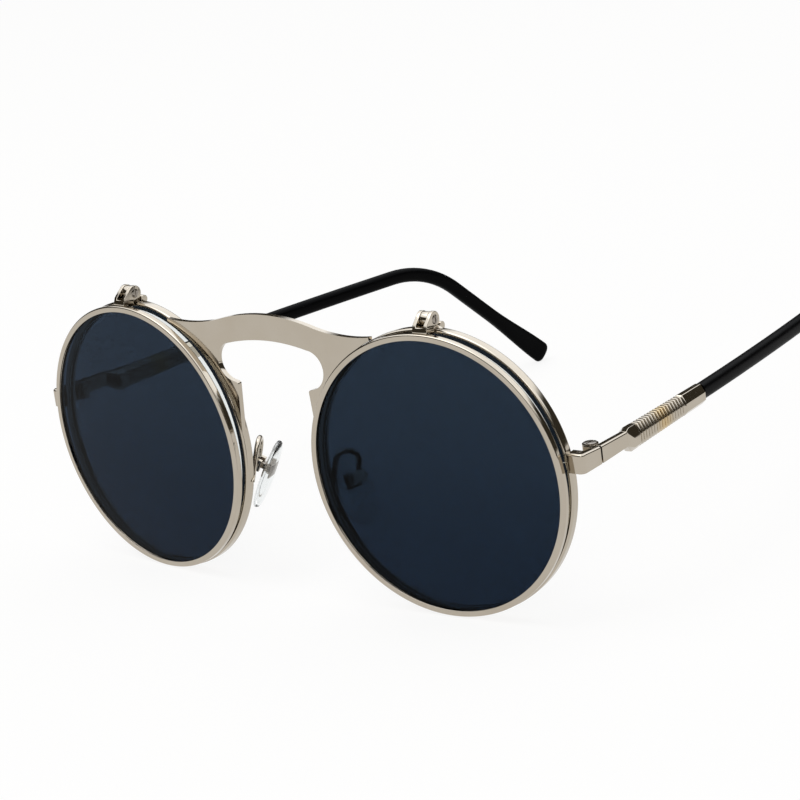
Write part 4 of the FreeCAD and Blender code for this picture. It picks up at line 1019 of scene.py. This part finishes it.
class SUNGLASSES_OT_temple_bars(bpy.types.Operator):
    """Polish the flat temple bars and raise the ribs on the eight-sided ones"""
    bl_idname = "sunglasses.temple_bars"
    bl_label = "Temple bars"

    def execute(self, context):
        s = sizes_mm()
        dress_bar("temple_bar", s, 0.0)
        bm = soften(ribbed_core(s), s.ribbed_round)
        ribs = rib_row(s, context.scene.sunglasses_finishes.rib_count)
        mesh = bpy.data.meshes.new("ribs")
        ribs.to_mesh(mesh)
        ribs.free()
        bm.from_mesh(mesh)
        bpy.data.meshes.remove(mesh)
        bm.transform(temple_turn(s, context.scene.sunglasses_angles))
        dress_pair("temple_ribbed_bar", bm)
        return {"FINISHED"}


def sleeve_path(s, angles):
    """A function from a distance along the sleeve to place, heading and pitch, and the distances
    of the bend's end and the sleeve's end."""
    start = temple_turn(s, angles) @ Vector((-s.ribbed_width / 2, s.bar_length + s.ribbed_length,
                                             -s.sleeve_start_drop))
    drop = angles.sleeve_drop
    bend_end = s.bend_start + s.bend_radius * drop
    bend_low = start.z - s.bend_radius * (1 - math.cos(drop))
    # The paddle's lower corner rests on the floor
    low = (s.paddle_height / 2 - s.paddle_corner) * math.cos(drop) + s.paddle_corner
    total = bend_end + (bend_low - low) / math.sin(drop) + s.paddle_corner

    def station(distance):
        pitch = min(max((distance - s.bend_start) / s.bend_radius, 0.0), drop)
        fall = max(distance - bend_end, 0.0)
        along = min(distance, s.bend_start) + s.bend_radius * math.sin(pitch) + fall * math.cos(drop)
        z = start.z - s.bend_radius * (1 - math.cos(pitch)) - fall * math.sin(drop)
        heading = math.asin(math.sin(angles.sleeve_toe) + along / s.bow_radius)
        x = start.x - s.bow_radius * (math.cos(angles.sleeve_toe) - math.cos(heading))
        return Vector((x, start.y + along, z)), heading, pitch

    return station, bend_end, total


def sleeve_section(place, heading, pitch, half_width, half_height):
    """An oval with squarish sides, square to the sleeve's middle line."""
    across = Vector((math.cos(heading), math.sin(heading), 0))
    ahead = Vector((-math.sin(heading) * math.cos(pitch), math.cos(heading) * math.cos(pitch),
                    -math.sin(pitch)))
    up = across.cross(ahead)
    points = []
    for count in range(SLEEVE_POINTS):
        turn = 2 * math.pi * count / SLEEVE_POINTS
        a = math.copysign(abs(math.cos(turn)) ** SLEEVE_POWER, math.cos(turn))
        b = math.copysign(abs(math.sin(turn)) ** SLEEVE_POWER, math.sin(turn))
        points.append(place + across * (a * half_width) + up * (b * half_height))
    return points


# Share of the straight fall over which the sleeve widens to its paddle
FLARE_SHARE = 0.6


class SUNGLASSES_OT_temple_sleeves(bpy.types.Operator):
    """Sweep the black sleeves along the temples, and give the wires in them their steel"""
    bl_idname = "sunglasses.temple_sleeves"
    bl_label = "Temple sleeves"

    def execute(self, context):
        s = sizes_mm()
        station, bend_end, total = sleeve_path(s, context.scene.sunglasses_angles)
        full = total - s.paddle_corner
        flare = full - (full - bend_end) * FLARE_SHARE

        def half_sizes(distance):
            share = min(max((distance - flare) / (full - flare), 0.0), 1.0)
            ease = share * share * (3 - 2 * share)
            return ((s.sleeve_width + (s.paddle_width - s.sleeve_width) * ease) / 2,
                    (s.sleeve_height + (s.paddle_height - s.sleeve_height) * ease) / 2)

        count = math.ceil(full / SLEEVE_STEP)
        stops = [full * step / count for step in range(count + 1)]
        sections = [sleeve_section(*station(stop), *half_sizes(stop)) for stop in stops]
        wide, tall = half_sizes(full)
        for step in range(1, SLEEVE_END_STEPS + 1):
            turn = step / SLEEVE_END_STEPS * math.pi / 2
            inset = s.paddle_corner * (1 - math.cos(turn))
            sections.append(sleeve_section(*station(full + s.paddle_corner * math.sin(turn)),
                                           wide - inset * wide / tall, tall - inset))
        dress_pair("temple_tip", loft(sections), sharp_angle=SLEEVE_SHARP_FROM)
        for side in SIDES:
            wire = f"temple_core_wire_{side}"
            for slot in frame["nodes"][wire].material_slots:
                slot.material = finish_of(wire)
        return {"FINISHED"}


# Nose pads

def pad_skin(s):
    """A crowned teardrop, narrower at the top, in the pad's frame."""
    middle = s.pad_top - s.pad_length / 2
    x = -s.pad_standoff - s.pad_thickness / 2
    sections = []
    for ring in range(1, PAD_RINGS):
        turn = math.pi * ring / PAD_RINGS
        z = middle + math.cos(turn) * s.pad_length / 2
        wide = s.pad_width / 2 * math.sin(turn) * (1 - PAD_BELLY_SHARE * math.cos(turn))
        thick = min(s.pad_thickness / 2 * math.sin(turn) ** PAD_EDGE_POWER, wide)
        sections.append([
            (x + thick * math.cos(a), wide * math.sin(a), z)
            for a in (2 * math.pi * step / PAD_POINTS for step in range(PAD_POINTS))])
    return loft(sections)


class SUNGLASSES_OT_nose_pads(bpy.types.Operator):
    """Mould the nose pads and polish their cores, boxes and arms"""
    bl_idname = "sunglasses.nose_pads"
    bl_label = "Nose pads"

    def execute(self, context):
        s = sizes_mm()
        bm = pad_skin(s)
        bm.transform(pad_turn(context.scene.sunglasses_angles))
        dress_pair("nose_pad", bm, sharp_angle=PAD_SHARP_FROM)
        for label in ("nose_pad_core", "pad_box"):
            dress_cad(label, s.edge_round)
        for side in SIDES:
            dress(f"pad_arm_{side}", cad_copy(f"pad_arm_{side}"), sharp_angle=WIRE_SHARP_FROM)
        return {"FINISHED"}


# Stage

# Place and near clip in metres, lens in millimetres, turns in radians
CAMERA_PLACE = (0.31687, -0.39442, 0.16687)
CAMERA_AZIMUTH = math.radians(41.31)
CAMERA_ELEVATION = math.radians(16.34)
CAMERA_ROLL = math.radians(-7.34)
CAMERA_LENS = 120.56
CAMERA_NEAR = 0.01
# Name, place in metres, width, length and power in watts of each soft lamp; all face the middle
LAMPS = (
    ("overhead_softbox", (-0.3, -0.3, 1.5), 1.2, 1.2, 8.0),
    ("front_softbox", (1.0, -1.2, 0.8), 0.6, 0.8, 3.0),
)
LAMP_AIM = Vector((0.0, 0.0, 0.02))
WORLD_STRENGTH = 0.45
WHITE = (1.0, 1.0, 1.0, 1.0)
FLOOR_HALF_SIDE = 3.0
# How much of the floor is even white, and that white's strength, which makes up for the paper's
# shade
FLOOR_WHITE_SHARE = 0.8
FLOOR_WHITE = 1.07
TENT_RADIUS = 2.5
TENT_SEGMENTS = 64
TENT_RINGS = 32
# Degrees above the floor where the tent's dark skirt ends and its lit roof begins, how much higher
# both are in front than behind, and the roof's strength
SKIRT_TOP = 22.0
ROOF_BOTTOM = 30.0
FRONT_RISE = 8.0
ROOF_STRENGTH = 1.85
SKIRT_COLOUR = "#403C34"
ROOF_COLOUR = "#F7FAFF"


def seen_directly(tree):
    """1 for camera, mirror and glass rays, and 0 for the rays that light the object."""
    path = add_node(tree, "ShaderNodeLightPath")
    some = add_node(tree, "ShaderNodeMath", {"operation": "MAXIMUM"}, {
        0: path.outputs["Is Camera Ray"], 1: path.outputs["Is Glossy Ray"]})
    seen = add_node(tree, "ShaderNodeMath", {"operation": "MAXIMUM"}, {
        0: some.outputs[0], 1: path.outputs["Is Transmission Ray"]})
    return seen.outputs[0]


def studio_floor(finishes):
    # Matt white paper sweep: even and nearly white to the eye, with the object's faint shadow
    material, tree = new_material("white_paper_sweep")
    paper = add_node(tree, "ShaderNodeBsdfDiffuse", None, {"Color": rgba(finishes.floor)})
    glow = add_node(tree, "ShaderNodeEmission", None, {"Strength": FLOOR_WHITE})
    share = add_node(tree, "ShaderNodeMath", {"operation": "MULTIPLY"}, {
        0: seen_directly(tree), 1: FLOOR_WHITE_SHARE})
    mix = add_node(tree, "ShaderNodeMixShader", None, {
        0: share.outputs[0], 1: paper.outputs["BSDF"], 2: glow.outputs["Emission"]})
    add_node(tree, "ShaderNodeOutputMaterial", None, {"Surface": mix.outputs["Shader"]})
    return material


def studio_tent():
    # Cloth tent over the set, out of the camera's sight, lit from above and with a dark skirt:
    # polished metal mirrors the roof as pale bands on its upper sides, and the skirt as dark lines
    # beside them
    material, tree = new_material("lit_cloth_tent")
    place = add_node(tree, "ShaderNodeTexCoord").outputs["Object"]
    split = add_node(tree, "ShaderNodeSeparateXYZ", None, {"Vector": place})
    share = add_node(tree, "ShaderNodeMath", {"operation": "DIVIDE"}, {
        0: split.outputs["Z"], 1: TENT_RADIUS})
    rise = add_node(tree, "ShaderNodeMath", {"operation": "ARCSINE"}, {0: share.outputs[0]})
    front = add_node(tree, "ShaderNodeMapRange", {"interpolation_type": "SMOOTHSTEP"}, {
        "Value": split.outputs["Y"], "From Min": -TENT_RADIUS / 2, "From Max": TENT_RADIUS / 2,
        "To Min": math.radians(FRONT_RISE), "To Max": 0.0})
    height = add_node(tree, "ShaderNodeMath", {"operation": "SUBTRACT"}, {
        0: rise.outputs[0], 1: front.outputs["Result"]})
    lit = add_node(tree, "ShaderNodeMapRange", {"interpolation_type": "SMOOTHSTEP"}, {
        "Value": height.outputs[0], "From Min": math.radians(SKIRT_TOP),
        "From Max": math.radians(ROOF_BOTTOM)})
    skirt = add_node(tree, "ShaderNodeEmission", None, {
        "Color": rgba(linear(SKIRT_COLOUR)), "Strength": 1.0})
    roof = add_node(tree, "ShaderNodeEmission", None, {
        "Color": rgba(linear(ROOF_COLOUR)), "Strength": ROOF_STRENGTH})
    mix = add_node(tree, "ShaderNodeMixShader", None, {
        0: lit.outputs["Result"], 1: skirt.outputs["Emission"], 2: roof.outputs["Emission"]})
    add_node(tree, "ShaderNodeOutputMaterial", None, {"Surface": mix.outputs["Shader"]})
    return material


def stage_object(name, bm, material):
    """Makes a part of the set."""
    mesh = bpy.data.meshes.new(name)
    bm.to_mesh(mesh)
    bm.free()
    mesh.materials.append(material)
    obj = bpy.data.objects.new(name, mesh)
    bpy.context.scene.collection.objects.link(obj)
    return obj


class SUNGLASSES_OT_stage(bpy.types.Operator):
    """Set the floor, the tent, the white world, the lamps and the camera"""
    bl_idname = "sunglasses.stage"
    bl_label = "Stage"

    def execute(self, context):
        scene = context.scene
        scene.view_settings.view_transform = "Standard"
        floor = bmesh.new()
        bmesh.ops.create_grid(floor, x_segments=1, y_segments=1, size=FLOOR_HALF_SIDE)
        stage_object("floor", floor, studio_floor(scene.sunglasses_finishes))

        tent = bmesh.new()
        bmesh.ops.create_uvsphere(tent, u_segments=TENT_SEGMENTS, v_segments=TENT_RINGS,
                                   radius=TENT_RADIUS)
        below = [vert for vert in tent.verts if vert.co.z < 0]
        bmesh.ops.delete(tent, geom=below, context="VERTS")
        cloth = stage_object("tent", tent, studio_tent())
        cloth.visible_camera = False
        cloth.visible_diffuse = False
        cloth.visible_transmission = False
        cloth.visible_shadow = False

        world = bpy.data.worlds.new("white_studio")
        world.use_nodes = True
        tree = world.node_tree
        tree.nodes.clear()
        light = add_node(tree, "ShaderNodeBackground", None, {
            "Color": WHITE, "Strength": WORLD_STRENGTH})
        white = add_node(tree, "ShaderNodeBackground", None, {"Color": WHITE, "Strength": 1.0})
        mix = add_node(tree, "ShaderNodeMixShader", None, {
            0: seen_directly(tree), 1: light.outputs["Background"], 2: white.outputs["Background"]})
        add_node(tree, "ShaderNodeOutputWorld", None, {"Surface": mix.outputs["Shader"]})
        scene.world = world

        for name, place, width, tall, power in LAMPS:
            lamp = bpy.data.lights.new(name, "AREA")
            lamp.shape = "RECTANGLE"
            lamp.size = width
            lamp.size_y = tall
            lamp.energy = power
            obj = bpy.data.objects.new(name, lamp)
            obj.location = place
            obj.rotation_euler = (LAMP_AIM - Vector(place)).to_track_quat("-Z", "Y").to_euler()
            scene.collection.objects.link(obj)

        camera = bpy.data.objects.new("camera", bpy.data.cameras.new("camera"))
        camera.data.lens = CAMERA_LENS
        camera.data.clip_start = CAMERA_NEAR
        camera.matrix_world = (
            Matrix.Translation(CAMERA_PLACE) @ Matrix.Rotation(CAMERA_AZIMUTH, 4, "Z")
            @ Matrix.Rotation(math.pi / 2 - CAMERA_ELEVATION, 4, "X")
            @ Matrix.Rotation(CAMERA_ROLL, 4, "Z"))
        scene.collection.objects.link(camera)
        scene.camera = camera
        return {"FINISHED"}


class SUNGLASSES_PT_panel(bpy.types.Panel):
    """Lists the steps that dress the sunglasses"""
    bl_idname = "SUNGLASSES_PT_panel"
    bl_label = "Flip Up Sunglasses"
    bl_space_type = "VIEW_3D"
    bl_region_type = "UI"
    bl_category = "Sunglasses"

    def draw(self, context):
        for operator in OPERATORS:
            self.layout.operator(operator.bl_idname)
        for group in GROUPS:
            settings = getattr(context.scene, group)
            for name in settings.__annotations__:
                self.layout.prop(settings, name)


OPERATORS = (
    SUNGLASSES_OT_rims, SUNGLASSES_OT_lenses, SUNGLASSES_OT_bridge, SUNGLASSES_OT_flip_hinges,
    SUNGLASSES_OT_endpieces, SUNGLASSES_OT_screws, SUNGLASSES_OT_temple_bars,
    SUNGLASSES_OT_temple_sleeves, SUNGLASSES_OT_nose_pads, SUNGLASSES_OT_stage,
)
GROUPS = {
    "sunglasses_sizes": SunglassesSizes,
    "sunglasses_angles": SunglassesAngles,
    "sunglasses_finishes": SunglassesFinishes,
}


def register():
    for cls in (*GROUPS.values(), *OPERATORS, SUNGLASSES_PT_panel):
        bpy.utils.register_class(cls)
    for name, group in GROUPS.items():
        setattr(bpy.types.Scene, name, PointerProperty(type=group))


def unregister():
    for name in GROUPS:
        delattr(bpy.types.Scene, name)
    for cls in reversed((*GROUPS.values(), *OPERATORS, SUNGLASSES_PT_panel)):
        bpy.utils.unregister_class(cls)


def main():
    """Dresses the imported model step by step."""
    register()
    for operator in OPERATORS:
        group, name = operator.bl_idname.split(".")
        getattr(getattr(bpy.ops, group), name)()


if __name__ == "__main__":
    main()
